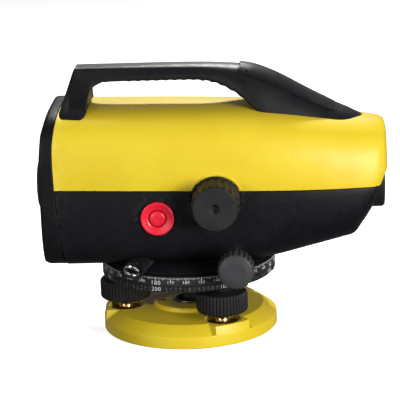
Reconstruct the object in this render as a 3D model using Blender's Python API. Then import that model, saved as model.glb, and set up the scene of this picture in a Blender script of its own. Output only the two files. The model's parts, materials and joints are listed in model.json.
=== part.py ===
"""Automatic level: a surveyor's levelling telescope on a three-screw base.

All sizes below are in millimetres and degrees; add_mesh turns millimetres into metres.
The origin is on the standing axis at the underside of the base plate, +Z is up, +X runs
along the telescope towards the eyepiece, and -Y is the side with the focusing knob.
"""

import math

import bmesh
import bpy
from mathutils import Vector

MM = 0.001
GAP = 0.3

# Driving sizes of the base.
BASE_RADIUS = 52.4
BASE_TOP_RADIUS = 44.4
BASE_WALL_HEIGHT = 7.0
BASE_TOP = 12.6
PAD_RADIUS = 51.4
PAD_HALF_ANGLE = 12.6
PAD_FACET_ANGLE = 2.5
POCKET_RADIUS = 10.5
POCKET_FLOOR = 6.6
DISC_RADIUS = 22.2
DISC_TOP = 15.3
BUSH_OUTER_RADIUS = 10.3
DISC_SCREWS = (("left", -17.1, -1.7), ("right", 17.1, 1.7))
TRIPOD_THREAD_RADIUS = 7.4

# Footscrews: name, angle about the standing axis.
FOOTSCREWS = (("front", 182.0), ("right", -58.0), ("left", 62.0))
FOOTSCREW_CIRCLE = 39.0
FOOT_BALL_RADIUS = 4.5
FOOT_BALL_Z = 11.6
KNOB_RADIUS = 15.2
KNOB_BOTTOM = 17.5
KNOB_TOP = 30.0
SPINDLE_RADIUS = 3.0

# Horizontal circle and the plate that carries the instrument.
CIRCLE_RADIUS = 52.2
CIRCLE_BORE = 47.2
CIRCLE_BOTTOM = 34.4
CIRCLE_TOP = 44.1
TRIBRACH_RADIUS = 46.6
TRIBRACH_BOTTOM = 33.4
TRIBRACH_TOP = 43.4
AXLE_RADIUS = 7.5
WORM_WHEEL_RADIUS = 26.1
WORM_WHEEL_BOTTOM = 49.0
WORM_WHEEL_TOP = 53.4
WORM_PITCH = 2.2

# Casing: stations along X, from the objective end to the eyepiece end.
WALL = 2.5
PARTING_FRONT_Z = 94.6
PARTING_SLOPE = 0.028
CASING_FRONT = -72.0
COVER_REAR = 119.6
HOUSING_REAR = 112.6
# x, half width, depth below the parting line, squareness
HOUSING_STATIONS = (
    (-72.0, 42.0, 49.3, 5.0),
    (-40.0, 42.0, 48.3, 5.0),
    (0.0, 41.5, 47.2, 5.0),
    (40.0, 40.6, 46.0, 4.4),
    (54.0, 39.8, 44.4, 3.6),
    (68.0, 38.6, 41.2, 3.2),
    (82.0, 36.6, 37.7, 3.0),
    (94.0, 34.2, 34.6, 2.9),
    (100.0, 32.8, 32.4, 2.9),
    (104.5, 31.6, 26.2, 2.8),
    (108.5, 30.2, 19.8, 2.8),
    (111.2, 29.2, 14.0, 2.8),
    (112.6, 28.4, 7.5, 2.8),
)
# x, half width, height above the parting line, squareness
COVER_STATIONS = (
    (-72.0, 42.0, 43.3, 4.0),
    (-40.0, 42.0, 43.5, 3.9),
    (0.0, 41.5, 44.0, 3.7),
    (34.0, 40.8, 43.9, 3.5),
    (60.0, 39.4, 42.3, 3.2),
    (82.0, 36.6, 39.8, 2.9),
    (96.0, 33.8, 38.0, 2.7),
    (106.0, 31.4, 36.9, 2.6),
    (112.6, 29.2, 36.1, 2.5),
    (116.4, 26.8, 35.7, 2.5),
    (118.6, 23.6, 34.9, 2.5),
    (119.6, 18.6, 31.0, 2.4),
)
ARC_SEGMENTS = 14
COVER_HOOD_Z = 98.0
COVER_HOOD_SLOPE = 0.42

# Front bezel: z at its corners and how far its face stands forward.
BEZEL_HALF_WIDTH = 42.8
BEZEL_TOP = 138.9
BEZEL_BOTTOM = 44.8
BEZEL_FACE_X = -84.4
BEZEL_SEGMENTS = 32

# Telescope.
OPTICAL_Z = 89.0
TUBE_RADIUS = 19.0
TUBE_WALL = 1.8
OBJECTIVE_CELL_RADIUS = 22.6
EYEPIECE_RADIUS = 18.2
EYEPIECE_END = 118.3

# Focusing drive.
FOCUS_X = 19.5
FOCUS_Z = 86.6
FOCUS_KNOB_RADIUS = 14.3
FOCUS_FACE_RADIUS = 13.0
FOCUS_KNOB_BACK = -43.6
FOCUS_KNOB_FRONT = -60.5
PINION_RADIUS = 3.0

# Horizontal drive.
DRIVE_X = 30.5
DRIVE_Z = 50.7
DRIVE_KNOB_RADIUS = 10.6
DRIVE_KNOB_BACK = 54.0
DRIVE_KNOB_FRONT = 67.5

# Red button.
BUTTON_X = -14.8
BUTTON_Z = 77.1
BUTTON_BEZEL_RADIUS = 9.9
BUTTON_RADIUS = 4.8

# Window over the circle.
LOUPE_CENTRE = Vector((-30.6, -47.6, 47.3))
LOUPE_NORMAL = Vector((0.30, -0.17, 0.94)).normalized()
LOUPE_RADIUS = 5.9

# Handle: upper line and lower line in the XZ plane, half widths above and below.
HANDLE_STATIONS = (
    (-72.6, 129.0, -55.0, 129.0, 31.0, 31.0),
    (-70.8, 136.0, -55.4, 136.5, 27.5, 27.5),
    (-68.2, 145.0, -54.2, 144.0, 17.0, 18.0),
    (-65.4, 153.0, -51.6, 148.6, 10.0, 12.5),
    (-62.4, 159.8, -46.4, 151.2, 7.5, 11.0),
    (-40.0, 160.2, -38.0, 151.8, 7.5, 10.5),
    (-10.0, 160.4, -10.0, 152.0, 7.5, 10.5),
    (12.0, 160.4, 10.0, 151.8, 7.5, 10.5),
    (24.0, 160.1, 20.0, 150.2, 7.8, 11.5),
    (34.0, 159.2, 28.0, 146.8, 8.4, 13.5),
    (42.0, 157.4, 35.5, 142.2, 9.2, 16.5),
    (51.0, 154.2, 43.0, 134.8, 9.8, 19.2),
    (60.0, 150.0, 54.0, 128.6, 10.0, 19.8),
    (72.0, 143.2, 70.0, 125.0, 9.8, 19.4),
    (84.0, 137.0, 82.0, 122.0, 9.4, 20.2),
    (95.0, 131.7, 94.0, 120.0, 8.8, 22.6),
    (103.0, 127.9, 102.5, 119.0, 6.4, 21.4),
    (106.4, 126.2, 106.0, 119.0, 3.0, 13.0),
)
HANDLE_CLEARANCE = 0.35
# Handle screws: name, x, height of the cover above the parting line there, top of the screw.
HANDLE_SCREWS = (("front", -63.0, 42.6, 142.4), ("rear", 70.0, 40.2, 138.0))


# ---------------------------------------------------------------- materials

MATERIALS = {
    "yellow_paint": ((0.83, 0.62, 0.045), 0.42, 0.0),
    "black_plastic": ((0.016, 0.016, 0.018), 0.48, 0.0),
    "black_rubber": ((0.022, 0.022, 0.024), 0.7, 0.0),
    "grey_plastic": ((0.085, 0.085, 0.09), 0.5, 0.0),
    "red_plastic": ((0.72, 0.012, 0.03), 0.35, 0.0),
    "brass": ((0.72, 0.45, 0.16), 0.28, 1.0),
    "steel": ((0.62, 0.62, 0.64), 0.25, 1.0),
    "aluminium": ((0.70, 0.71, 0.73), 0.4, 1.0),
    "black_metal": ((0.02, 0.02, 0.022), 0.38, 0.6),
    "glass": ((0.82, 0.9, 0.92), 0.05, 0.0),
}


def make_materials():
    made = {}
    for name, (colour, roughness, metallic) in MATERIALS.items():
        material = bpy.data.materials.new(name)
        material.use_nodes = True
        shader = material.node_tree.nodes["Principled BSDF"]
        shader.inputs["Base Color"].default_value = (*colour, 1.0)
        shader.inputs["Roughness"].default_value = roughness
        shader.inputs["Metallic"].default_value = metallic
        made[name] = material
    return made


# ---------------------------------------------------------------- mesh tools

def clear_scene():
    for item in list(bpy.data.objects):
        bpy.data.objects.remove(item, do_unlink=True)


def add_mesh(name, points, faces, material=None, pivot=(0.0, 0.0, 0.0), cutter=False):
    """Make an object from points in millimetres, with its origin at pivot."""
    pivot = Vector(pivot)
    mesh = bpy.data.meshes.new(name)
    mesh.from_pydata([(Vector(p) - pivot) * MM for p in points], [], faces)
    form = bmesh.new()
    form.from_mesh(mesh)
    bmesh.ops.recalc_face_normals(form, faces=form.faces)
    form.to_mesh(mesh)
    form.free()
    if material:
        mesh.materials.append(bpy.data.materials[material])
    item = bpy.data.objects.new(name, mesh)
    item.location = pivot * MM
    bpy.context.scene.collection.objects.link(item)
    if cutter:
        item.hide_render = True
        item.display_type = "WIRE"
    else:
        mesh.shade_smooth()
        mesh.set_sharp_from_angle(angle=math.radians(32.0))
    return item


def boolean(target, other, operation="DIFFERENCE"):
    step = target.modifiers.new(f"{operation.lower()}_{other.name}", "BOOLEAN")
    step.object = other
    step.operation = operation
    step.solver = "EXACT"


def axis_matrix(axis):
    """Turn the local Z axis to the given direction."""
    return Vector(axis).to_track_quat("Z", "Y").to_matrix()


def ring_faces(first, second, count):
    faces = []
    for i in range(count):
        j = (i + 1) % count
        faces.append((first + i, first + j, second + j, second + i))
    return faces


def turned(name, profile, material=None, at=(0.0, 0.0, 0.0), axis=(0.0, 0.0, 1.0),
           segments=24, pivot=None, cutter=False, shape=None):
    """Turn a profile of (radius, height) about an axis.

    The profile is an open line when it starts and ends on the axis (radius 0), and a
    closed loop otherwise. shape(i) is added to the radius of the i-th point round the axis,
    for profile points that carry a third value, which makes flutes and teeth.
    """
    turn = axis_matrix(axis)
    centre = Vector(at)
    points = []
    rows = []
    for entry in profile:
        radius, height = entry[0], entry[1]
        fluted = shape is not None and len(entry) > 2
        if radius == 0.0:
            rows.append((len(points), 1))
            points.append(centre + turn @ Vector((0.0, 0.0, height)))
            continue
        rows.append((len(points), segments))
        for i in range(segments):
            angle = 2.0 * math.pi * i / segments
            reach = radius + (shape(i) if fluted else 0.0)
            spot = Vector((reach * math.cos(angle), reach * math.sin(angle), height))
            points.append(centre + turn @ spot)
    faces = []
    closed = profile[0][0] != 0.0
    pairs = list(zip(rows, rows[1:]))
    if closed:
        pairs.append((rows[-1], rows[0]))
    for (first, first_count), (second, second_count) in pairs:
        if first_count == 1:
            faces += [(first, second + i, second + (i + 1) % segments) for i in range(segments)]
        elif second_count == 1:
            faces += [(second, first + (i + 1) % segments, first + i) for i in range(segments)]
        else:
            faces += ring_faces(first, second, segments)
    return add_mesh(name, points, faces, material, pivot if pivot is not None else at, cutter)


def rod(name, radius, low, high, material=None, at=(0.0, 0.0, 0.0), axis=(0.0, 0.0, 1.0),
        segments=20, pivot=None, cutter=False):
    profile = ((0.0, low), (radius, low), (radius, high), (0.0, high))
    return turned(name, profile, material, at, axis, segments, pivot, cutter)


def tube(name, outer, inner, low, high, material=None, at=(0.0, 0.0, 0.0),
         axis=(0.0, 0.0, 1.0), segments=24, pivot=None):
    profile = ((inner, low), (outer, low), (outer, high), (inner, high))
    return turned(name, profile, material, at, axis, segments, pivot)


def block(name, low, high, material=None, pivot=(0.0, 0.0, 0.0), cutter=False):
    points = [(x, y, z) for x in (low[0], high[0]) for y in (low[1], high[1])
              for z in (low[2], high[2])]
    faces = ((0, 1, 3, 2), (4, 6, 7, 5), (0, 4, 5, 1), (2, 3, 7, 6), (0, 2, 6, 4), (1, 5, 7, 3))
    return add_mesh(name, points, faces, material, pivot, cutter)


def loft(name, rings, material=None, pivot=(0.0, 0.0, 0.0), cutter=False, closed=False):
    """Skin closed rings of equal length; end rings are capped, or joined when closed."""
    count = len(rings[0])
    points = [spot for ring in rings for spot in ring]
    faces = []
    for i in range(len(rings) - 1):
        faces += ring_faces(i * count, (i + 1) * count, count)
    if closed:
        faces += ring_faces((len(rings) - 1) * count, 0, count)
    else:
        faces.append(tuple(range(count)))
        last = (len(rings) - 1) * count
        faces.append(tuple(range(last, last + count)))
    return add_mesh(name, points, faces, material, pivot, cutter)


def polar(radius, angle, z):
    turn = math.radians(angle)
    return Vector((radius * math.cos(turn), radius * math.sin(turn), z))


# ---------------------------------------------------------------- casing shape

def parting_z(x):
    return PARTING_FRONT_Z - PARTING_SLOPE * (x - CASING_FRONT)


def joint_x(z):
    """X of the joint between the bezel and the casing, which bows forward."""
    mid_z = 113.0
    bow = 0.0052 if z > mid_z else 0.00114
    return -74.5 + bow * (z - mid_z) ** 2


def power_arc(half_width, height, squareness, segments=ARC_SEGMENTS):
    """Points (y, rise) over half a superellipse, from -y to +y."""
    spots = []
    for i in range(segments + 1):
        turn = math.pi * i / segments
        across = abs(math.cos(turn)) ** (2.0 / squareness)
        rise = math.sin(turn) ** (2.0 / squareness) if 0 < i < segments else 0.0
        side = -1.0 if i < segments / 2 else 1.0
        spots.append((side * half_width * across, height * rise))
    return spots


def casing_arc(station, sign, offset, rear_x, first):
    """One arc of the casing's skin, offset inwards (positive) or outwards (negative)."""
    x, half_width, height, squareness = station
    x = min(x, rear_x)
    base = parting_z(x)
    arc = []
    for y, rise in power_arc(half_width - offset, height - offset, squareness):
        z = base + sign * rise
        place = x
        if first:
            place = joint_x(z)
        elif sign > 0 and x > 110.0 and z < COVER_HOOD_Z:
            place = x - COVER_HOOD_SLOPE * (COVER_HOOD_Z - z) * (x - 110.0) / (COVER_REAR - 110.0)
        arc.append(Vector((place, y, z)))
    return arc


def casing_half(name, stations, sign, material):
    """A half shell: outer skin, inner skin, and the rim between them."""
    last = len(stations) - 1
    rear = stations[last][0]
    outer = []
    inner = []
    for i, station in enumerate(stations):
        outer.append(casing_arc(station, sign, 0.0, rear, i == 0))
        inner_x = min(station[0], rear - WALL - 0.3 * (last - i))
        inner.append(casing_arc((inner_x, *station[1:]), sign, WALL, rear, i == 0))
    count = len(outer[0])
    points = [spot for arc in outer for spot in arc] + [spot for arc in inner for spot in arc]
    shift = count * len(stations)
    faces = []
    for i in range(last):
        for j in range(count - 1):
            a = i * count + j
            faces.append((a, a + 1, a + count + 1, a + count))
            faces.append((shift + a, shift + a + count, shift + a + count + 1, shift + a + 1))
        for j in (0, count - 1):
            a = i * count + j
            faces.append((a, a + count, shift + a + count, shift + a))
    for j in range(count - 1):
        faces.append((j, shift + j, shift + j + 1, j + 1))
    end = last * count
    faces.append(tuple(range(end, end + count)))
    faces.append(tuple(range(shift + end, shift + end + count)))
    faces.append((end, end + count - 1, shift + end + count - 1, shift + end))
    return add_mesh(name, points, faces, material)


def casing_solid(name, stations, sign, offset, far):
    """The solid that a half shell fills, grown outwards by offset, as a cutter."""
    rings = []
    for i, station in enumerate(stations):
        arc = casing_arc(station, sign, -offset, far, False)
        if i == 0:
            arc = [spot - Vector((8.0, 0.0, 0.0)) for spot in arc]
        low = arc[0].z - sign * 4.0
        rings.append([Vector((arc[-1].x, arc[-1].y, low)), Vector((arc[0].x, arc[0].y, low))] + arc)
    return loft(name, rings, cutter=True)


# ---------------------------------------------------------------- base

def make_base_plate():
    angles = set(range(0, 360, 15))
    for _, centre in FOOTSCREWS:
        for side in (-1, 1):
            angles.add((centre + side * PAD_HALF_ANGLE) % 360)
            angles.add((centre + side * (PAD_HALF_ANGLE + PAD_FACET_ANGLE)) % 360)
    angles = sorted(angles)
    bore = BUSH_OUTER_RADIUS + GAP
    rings = []
    for angle in angles:
        on_pad = any(abs((angle - centre + 180) % 360 - 180) <= PAD_HALF_ANGLE + 0.01
                     for _, centre in FOOTSCREWS)
        edge = PAD_RADIUS if on_pad else BASE_TOP_RADIUS
        line = ((bore, 0.0), (BASE_RADIUS, 0.0), (BASE_RADIUS, BASE_WALL_HEIGHT),
                (edge, BASE_TOP), (DISC_RADIUS, BASE_TOP), (DISC_RADIUS - 0.7, DISC_TOP),
                (bore, DISC_TOP))
        rings.append([polar(radius, angle, z) for radius, z in line])
    plate = loft("base_plate", rings, "yellow_paint", closed=True)
    for name, angle in FOOTSCREWS:
        pocket = rod(f"cut_pocket_{name}", POCKET_RADIUS, POCKET_FLOOR, BASE_TOP + 5.0,
                     at=polar(FOOTSCREW_CIRCLE, angle, 0.0), cutter=True)
        boolean(plate, pocket)
    for side, x, y in DISC_SCREWS:
        hole = rod(f"cut_disc_screw_{side}", 2.9, 8.0, DISC_TOP + 5.0, at=(x, y, 0.0), segments=16,
                   cutter=True)
        boolean(plate, hole)


def make_base_fittings():
    turned("tripod_bush", ((TRIPOD_THREAD_RADIUS, 0.4), (BUSH_OUTER_RADIUS, 0.4),
                           (BUSH_OUTER_RADIUS, 15.2), (9.6, 15.9), (8.2, 15.9),
                           (TRIPOD_THREAD_RADIUS, 15.0)), "steel", segments=20)
    for side, x, y in DISC_SCREWS:
        screw = turned(f"disc_screw_{side}", ((0.0, 8.5), (1.5, 8.5), (1.5, 12.6), (2.5, 14.0),
                                              (2.5, 15.2), (2.1, 15.6), (0.0, 15.6)),
                       "brass", at=(x, y, 0.0), segments=12)
        slot = block(f"cut_slot_{side}", (x - 3.0, y - 0.35, 14.9), (x + 3.0, y + 0.35, 17.0),
                     cutter=True)
        boolean(screw, slot)
    for name, angle in FOOTSCREWS:
        turned(f"foot_seat_{name}", ((3.4, 6.9), (10.1, 6.9), (10.1, 9.2), (9.0, 10.0), (5.4, 9.2)),
               "brass", at=polar(FOOTSCREW_CIRCLE, angle, 0.0), segments=16)


# ---------------------------------------------------------------- footscrews

def flute(i):
    """Flute depth for a ring with three points to each rib."""
    return -0.9 if i % 3 == 0 else 0.0


def make_footscrew(name, angle):
    spot = polar(FOOTSCREW_CIRCLE, angle, 0.0)
    pivot = (spot.x, spot.y, FOOT_BALL_Z)
    bore = SPINDLE_RADIUS + GAP
    profile = ((bore, KNOB_BOTTOM), (12.6, KNOB_BOTTOM, 1), (14.4, KNOB_BOTTOM + 0.5, 1),
               (KNOB_RADIUS, KNOB_BOTTOM + 1.6, 1), (KNOB_RADIUS, KNOB_TOP - 1.4, 1),
               (14.0, KNOB_TOP - 0.2), (9.6, KNOB_TOP), (8.6, 31.0), (bore, 31.0))
    turned(f"footscrew_knob_{name}", profile, "black_plastic", at=spot, segments=30,
           pivot=pivot, shape=flute)
    ball = [(0.0, FOOT_BALL_Z - FOOT_BALL_RADIUS)]
    for step in range(1, 7):
        turn = math.radians(-90.0 + 24.0 * step)
        ball.append((FOOT_BALL_RADIUS * math.cos(turn),
                     FOOT_BALL_Z + FOOT_BALL_RADIUS * math.sin(turn)))
    shank = [(2.4, 16.6), (2.4, 18.0), (SPINDLE_RADIUS, 18.6), (SPINDLE_RADIUS, 41.6),
             (2.4, 42.4), (0.0, 42.4)]
    turned(f"footscrew_spindle_{name}", ball + shank, "brass", at=spot, segments=12, pivot=pivot)


# ---------------------------------------------------------------- tribrach and axis

def make_tribrach():
    profile = ((AXLE_RADIUS + GAP, TRIBRACH_BOTTOM), (14.0, TRIBRACH_BOTTOM),
               (16.0, 39.4), (28.0, 39.4), (30.0, TRIBRACH_BOTTOM), (45.6, TRIBRACH_BOTTOM),
               (TRIBRACH_RADIUS, TRIBRACH_BOTTOM + 1.0), (TRIBRACH_RADIUS, TRIBRACH_TOP),
               (AXLE_RADIUS + GAP, TRIBRACH_TOP))
    plate = turned("tribrach_plate", profile, "black_metal", segments=30)
    for name, angle in FOOTSCREWS:
        spot = polar(FOOTSCREW_CIRCLE, angle, 0.0)
        hole = rod(f"cut_thread_bush_{name}", 6.3, 30.0, 47.0, at=spot, segments=16, cutter=True)
        boolean(plate, hole)
        inner = 4.4 if name == "front" else SPINDLE_RADIUS + GAP
        tube(f"thread_bush_{name}", 6.0, inner, TRIBRACH_BOTTOM + 0.2, TRIBRACH_TOP - 0.2, "brass",
             at=spot, segments=16)
    turned("vertical_axle", ((0.0, 34.0), (AXLE_RADIUS, 34.0), (AXLE_RADIUS, TRIBRACH_TOP + GAP),
                             (13.0, TRIBRACH_TOP + GAP), (13.0, 44.8), (AXLE_RADIUS, 45.4),
                             (AXLE_RADIUS, 66.0), (6.5, 67.4), (0.0, 67.4)), "steel", segments=20)


def make_circle():
    turned("circle_ring", ((CIRCLE_BORE, CIRCLE_BOTTOM), (CIRCLE_RADIUS - 0.5, CIRCLE_BOTTOM),
                           (CIRCLE_RADIUS, CIRCLE_BOTTOM + 0.6), (CIRCLE_RADIUS, CIRCLE_TOP - 1.4),
                           (CIRCLE_RADIUS - 0.7, CIRCLE_TOP), (CIRCLE_BORE, CIRCLE_TOP)),
           "black_metal", segments=42)


def tooth(i):
    """Every second point round the wheel is the root between two teeth."""
    return -0.8 if i % 2 else 0.0


def make_worm_drive():
    bore = AXLE_RADIUS + GAP
    turned("worm_wheel", ((bore, WORM_WHEEL_BOTTOM), (WORM_WHEEL_RADIUS, WORM_WHEEL_BOTTOM, 1),
                          (WORM_WHEEL_RADIUS, WORM_WHEEL_TOP, 1), (12.0, WORM_WHEEL_TOP),
                          (11.0, 55.0), (bore, 55.0)),
           "brass", segments=40, shape=tooth)
    turned("axle_bush", ((bore, 55.6), (13.6, 55.6), (13.6, 58.4), (10.6, 58.4), (10.6, 65.4),
                         (bore, 65.4)), "brass", segments=20)
    along = (0.0, 1.0, 0.0)
    spot = (DRIVE_X, 0.0, DRIVE_Z)
    thread = []
    for i in range(6):
        start = (i - 3) * WORM_PITCH
        thread += [(3.2, start), (3.9, start + 0.7), (3.9, start + 1.3)]
    shaft = ([(0.0, -62.0), (2.4, -62.0), (2.4, -6.8)] + thread
             + [(2.4, 6.8), (2.4, 62.0), (0.0, 62.0)])
    turned("worm_shaft", shaft, "steel", at=spot, axis=along, segments=12)
    for name, sign in (("right", -1.0), ("left", 1.0)):
        drive_knob(name, sign, spot)


def drive_knob(name, sign, spot):
    bore = 2.4 + GAP
    length = DRIVE_KNOB_FRONT - DRIVE_KNOB_BACK
    profile = ((0.0, 8.4), (bore, 8.4), (bore, 0.0), (9.6, 0.0), (DRIVE_KNOB_RADIUS, 0.8, 1),
               (DRIVE_KNOB_RADIUS - 0.2, length - 2.4, 1), (9.0, length - 1.0), (5.0, length - 0.2),
               (0.0, length))
    turned(f"drive_knob_{name}", profile, "grey_plastic", at=(spot[0], sign * DRIVE_KNOB_BACK, spot[2]),
           axis=(0.0, sign, 0.0), segments=24, pivot=spot, shape=flute)


# ---------------------------------------------------------------- casing

def make_lower_housing():
    housing = casing_half("lower_housing", HOUSING_STATIONS, -1.0, "black_plastic")
    skirt = turned("join_skirt", ((16.6, 44.9), (50.2, 44.9), (50.4, 45.6), (43.0, 48.6),
                                  (39.0, 49.2), (16.6, 48.2)), segments=32, cutter=True)
    boolean(housing, skirt, "UNION")
    drive_spot = (DRIVE_X, 0.0, DRIVE_Z)
    cuts = (
        rod("cut_axle", 16.4, 40.0, 48.9, segments=20, cutter=True),
        rod("cut_drive", 3.6, -60.0, 60.0, at=drive_spot, axis=(0, 1, 0), segments=14, cutter=True),
        rod("cut_wheel", WORM_WHEEL_RADIUS + 0.8, WORM_WHEEL_BOTTOM - GAP, 58.0, segments=24,
            cutter=True),
        rod("cut_worm", 4.6, -8.5, 8.5, at=drive_spot, axis=(0, 1, 0), segments=14, cutter=True),
        rod("cut_focus", 14.8, 30.0, 60.0, at=(FOCUS_X, 0.0, FOCUS_Z), axis=(0, -1, 0), segments=28,
            cutter=True),
        rod("cut_button", BUTTON_BEZEL_RADIUS + GAP, 30.0, 60.0, at=(BUTTON_X, 0.0, BUTTON_Z),
            axis=(0, -1, 0), segments=24, cutter=True),
        rod("cut_eyepiece", EYEPIECE_RADIUS + 0.5, 100.0, 125.0, at=(0.0, 0.0, OPTICAL_Z),
            axis=(1, 0, 0), segments=28, cutter=True),
    )
    for cut in cuts:
        boolean(housing, cut)


def make_top_cover():
    cover = casing_half("top_cover", COVER_STATIONS, 1.0, "yellow_paint")
    cover.location.z += GAP * MM
    cuts = [
        rod("cut_cover_focus", 14.8, 30.0, 60.0, at=(FOCUS_X, 0.0, FOCUS_Z), axis=(0, -1, 0),
            segments=28, cutter=True),
        rod("cut_cover_eyepiece", EYEPIECE_RADIUS + 0.9, 100.0, 125.0, at=(0.0, 0.0, OPTICAL_Z),
            axis=(1, 0, 0), segments=28, cutter=True),
    ]
    for name, x, _, _ in HANDLE_SCREWS:
        cuts.append(rod(f"cut_screw_{name}", 2.5, 120.0, 150.0, at=(x, 0.0, 0.0), segments=14,
                        cutter=True))
    for cut in cuts:
        boolean(cover, cut)


def bezel_outline(scale, x_of):
    """Closed outline of the bezel, scaled about the optical axis' height."""
    mid_z = (BEZEL_TOP + BEZEL_BOTTOM) / 2.0
    half_height = (BEZEL_TOP - BEZEL_BOTTOM) / 2.0
    ring = []
    for i in range(BEZEL_SEGMENTS):
        turn = 2.0 * math.pi * i / BEZEL_SEGMENTS
        across = math.copysign(abs(math.cos(turn)) ** 0.5, math.cos(turn))
        rise = math.copysign(abs(math.sin(turn)) ** 0.5, math.sin(turn))
        z = mid_z + scale * half_height * rise
        ring.append(Vector((x_of(z), scale * BEZEL_HALF_WIDTH * across, z)))
    return ring


def bezel_edge_x(z):
    """X of the bezel's front edge, which leans back above and below."""
    lean = max(0.0, z - 112.0)
    tuck = max(0.0, 50.0 - z)
    return -82.9 + 0.0075 * lean ** 2 + 0.4 * tuck


def make_front_bezel():
    bore = OBJECTIVE_CELL_RADIUS + GAP

    def circle(radius, x):
        return [Vector((x, radius * math.cos(2 * math.pi * i / BEZEL_SEGMENTS),
                        OPTICAL_Z + radius * math.sin(2 * math.pi * i / BEZEL_SEGMENTS)))
                for i in range(BEZEL_SEGMENTS)]

    rings = (
        bezel_outline(1.0, lambda z: joint_x(z) - GAP),
        bezel_outline(1.0, lambda z: bezel_edge_x(z) + 1.4),
        bezel_outline(0.97, bezel_edge_x),
        bezel_outline(0.86, lambda z: bezel_edge_x(z) - 0.5),
        circle(28.0, BEZEL_FACE_X),
        circle(bore, BEZEL_FACE_X + 0.4),
        circle(bore, -77.0),
        bezel_outline(0.93, lambda z: joint_x(z) - 1.0),
    )
    loft("front_bezel", rings, "black_plastic", closed=True)


# ---------------------------------------------------------------- telescope

def optic(name, profile, material, segments=32, pivot=None):
    """A turned piece on the optical axis; heights in the profile are X positions."""
    return turned(name, profile, material, at=(0.0, 0.0, OPTICAL_Z), axis=(1, 0, 0),
                  segments=segments, pivot=pivot)


def make_telescope():
    rim = OBJECTIVE_CELL_RADIUS
    optic("objective_cell", ((11.8, -87.0), (12.4, -87.9), (13.6, -88.0), (14.4, -87.2),
                             (15.2, -85.2), (rim, -84.2), (rim, -73.0), (17.2, -73.0),
                             (17.2, -83.4), (11.8, -84.0)), "black_metal", 24)
    optic("objective_lens", ((0.0, -82.9), (9.0, -82.2), (16.8, -79.8), (16.8, -76.6), (9.0, -75.4),
                             (0.0, -75.0)), "glass", 24)
    inner = TUBE_RADIUS - TUBE_WALL
    barrel = optic("telescope_tube", ((inner, -72.6), (TUBE_RADIUS, -72.6), (TUBE_RADIUS, 46.0),
                                      (inner, 46.0)), "black_metal", 24)
    slot = block("cut_rack_slot", (-6.0, -26.0, FOCUS_Z + 2.4), (45.0, -10.0, FOCUS_Z + 7.4),
                 cutter=True)
    boolean(barrel, slot)
    carriage = optic("focusing_carriage", ((13.2, 7.0), (inner - GAP, 7.0), (inner - GAP, 32.0),
                                           (13.2, 32.0)), "aluminium", 24)
    web = block("join_rack_web", (8.0, -19.0, FOCUS_Z + 3.4), (31.0, -14.0, FOCUS_Z + 6.4),
                cutter=True)
    boolean(carriage, web, "UNION")
    boolean(carriage, rack_bar(), "UNION")
    optic("focusing_lens", ((0.0, 16.6), (8.0, 16.0), (12.9, 14.4), (12.9, 20.6), (8.0, 19.0),
                            (0.0, 18.4)), "glass", 24)
    optic("reticle", ((0.0, 80.0), (12.9, 80.0), (12.9, 82.0), (0.0, 82.0)), "glass", 24)
    mount = ((13.2, 74.0), (16.0, 74.0), (16.0, 112.4), (13.2, 112.4))
    optic("eyepiece_mount", mount, "black_metal", 24)
    optic("eyepiece_ring", ((16.4, 106.0), (EYEPIECE_RADIUS, 106.0), (EYEPIECE_RADIUS, 112.0),
                            (EYEPIECE_RADIUS, 117.5), (17.4, EYEPIECE_END),
                            (12.6, EYEPIECE_END), (12.6, 112.9), (16.4, 112.9)),
          "black_rubber", 28)
    optic("eyepiece_barrel", ((9.3, 92.0), (12.2, 92.0), (12.2, 116.2), (9.3, 116.2)),
          "black_metal", 24)
    optic("eyepiece_lens", ((0.0, 106.0), (9.0, 107.6), (9.0, 111.0), (0.0, 112.6)), "glass", 24)


def rack_bar():
    """The rack: a bar with teeth on its lower side, meshing with the pinion."""
    low = FOCUS_Z + PINION_RADIUS + 0.35
    outline = [(4.6, low + 3.4), (4.6, low)]
    x = 4.6
    while x < 33.0:
        outline += [(x + 0.9, low + 0.8), (x + 1.9, low)]
        x += 1.9
    outline.append((x, low + 3.4))
    rings = [[Vector((px, y, pz)) for px, pz in outline] for y in (-23.0, -18.5)]
    return loft("join_rack", rings, cutter=True)


def make_focus_drive():
    spot = (FOCUS_X, 0.0, FOCUS_Z)
    out = (0.0, -1.0, 0.0)
    turned("focus_bearing", ((2.8, 24.5), (5.0, 24.5), (5.0, 38.6), (14.4, 38.6), (14.4, 42.6),
                             (13.6, 43.1), (2.8, 43.1)), "black_plastic", at=spot, axis=out,
           segments=20)

    def leaf(i):
        """Every second point round the pinion is the root between two leaves."""
        return -0.7 if i % 2 else 0.0

    turned("focus_pinion", ((0.0, 19.4), (PINION_RADIUS, 19.4, 1), (PINION_RADIUS, 23.6, 1),
                            (2.4, 23.8), (2.4, 56.0), (0.0, 56.0)), "steel", at=spot, axis=out,
           segments=20, shape=leaf)
    back = -FOCUS_KNOB_BACK
    front = -FOCUS_KNOB_FRONT
    turned("focus_knob", ((2.7, back), (13.4, back), (FOCUS_KNOB_RADIUS, back + 0.8, 1),
                          (FOCUS_KNOB_RADIUS - 0.3, front - 1.6, 1), (FOCUS_FACE_RADIUS, front - 1.2),
                          (FOCUS_FACE_RADIUS - 0.4, front),
                          (2.7, front)),
           "black_plastic", at=spot, axis=out, segments=42, shape=flute)


# ---------------------------------------------------------------- compensator

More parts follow.
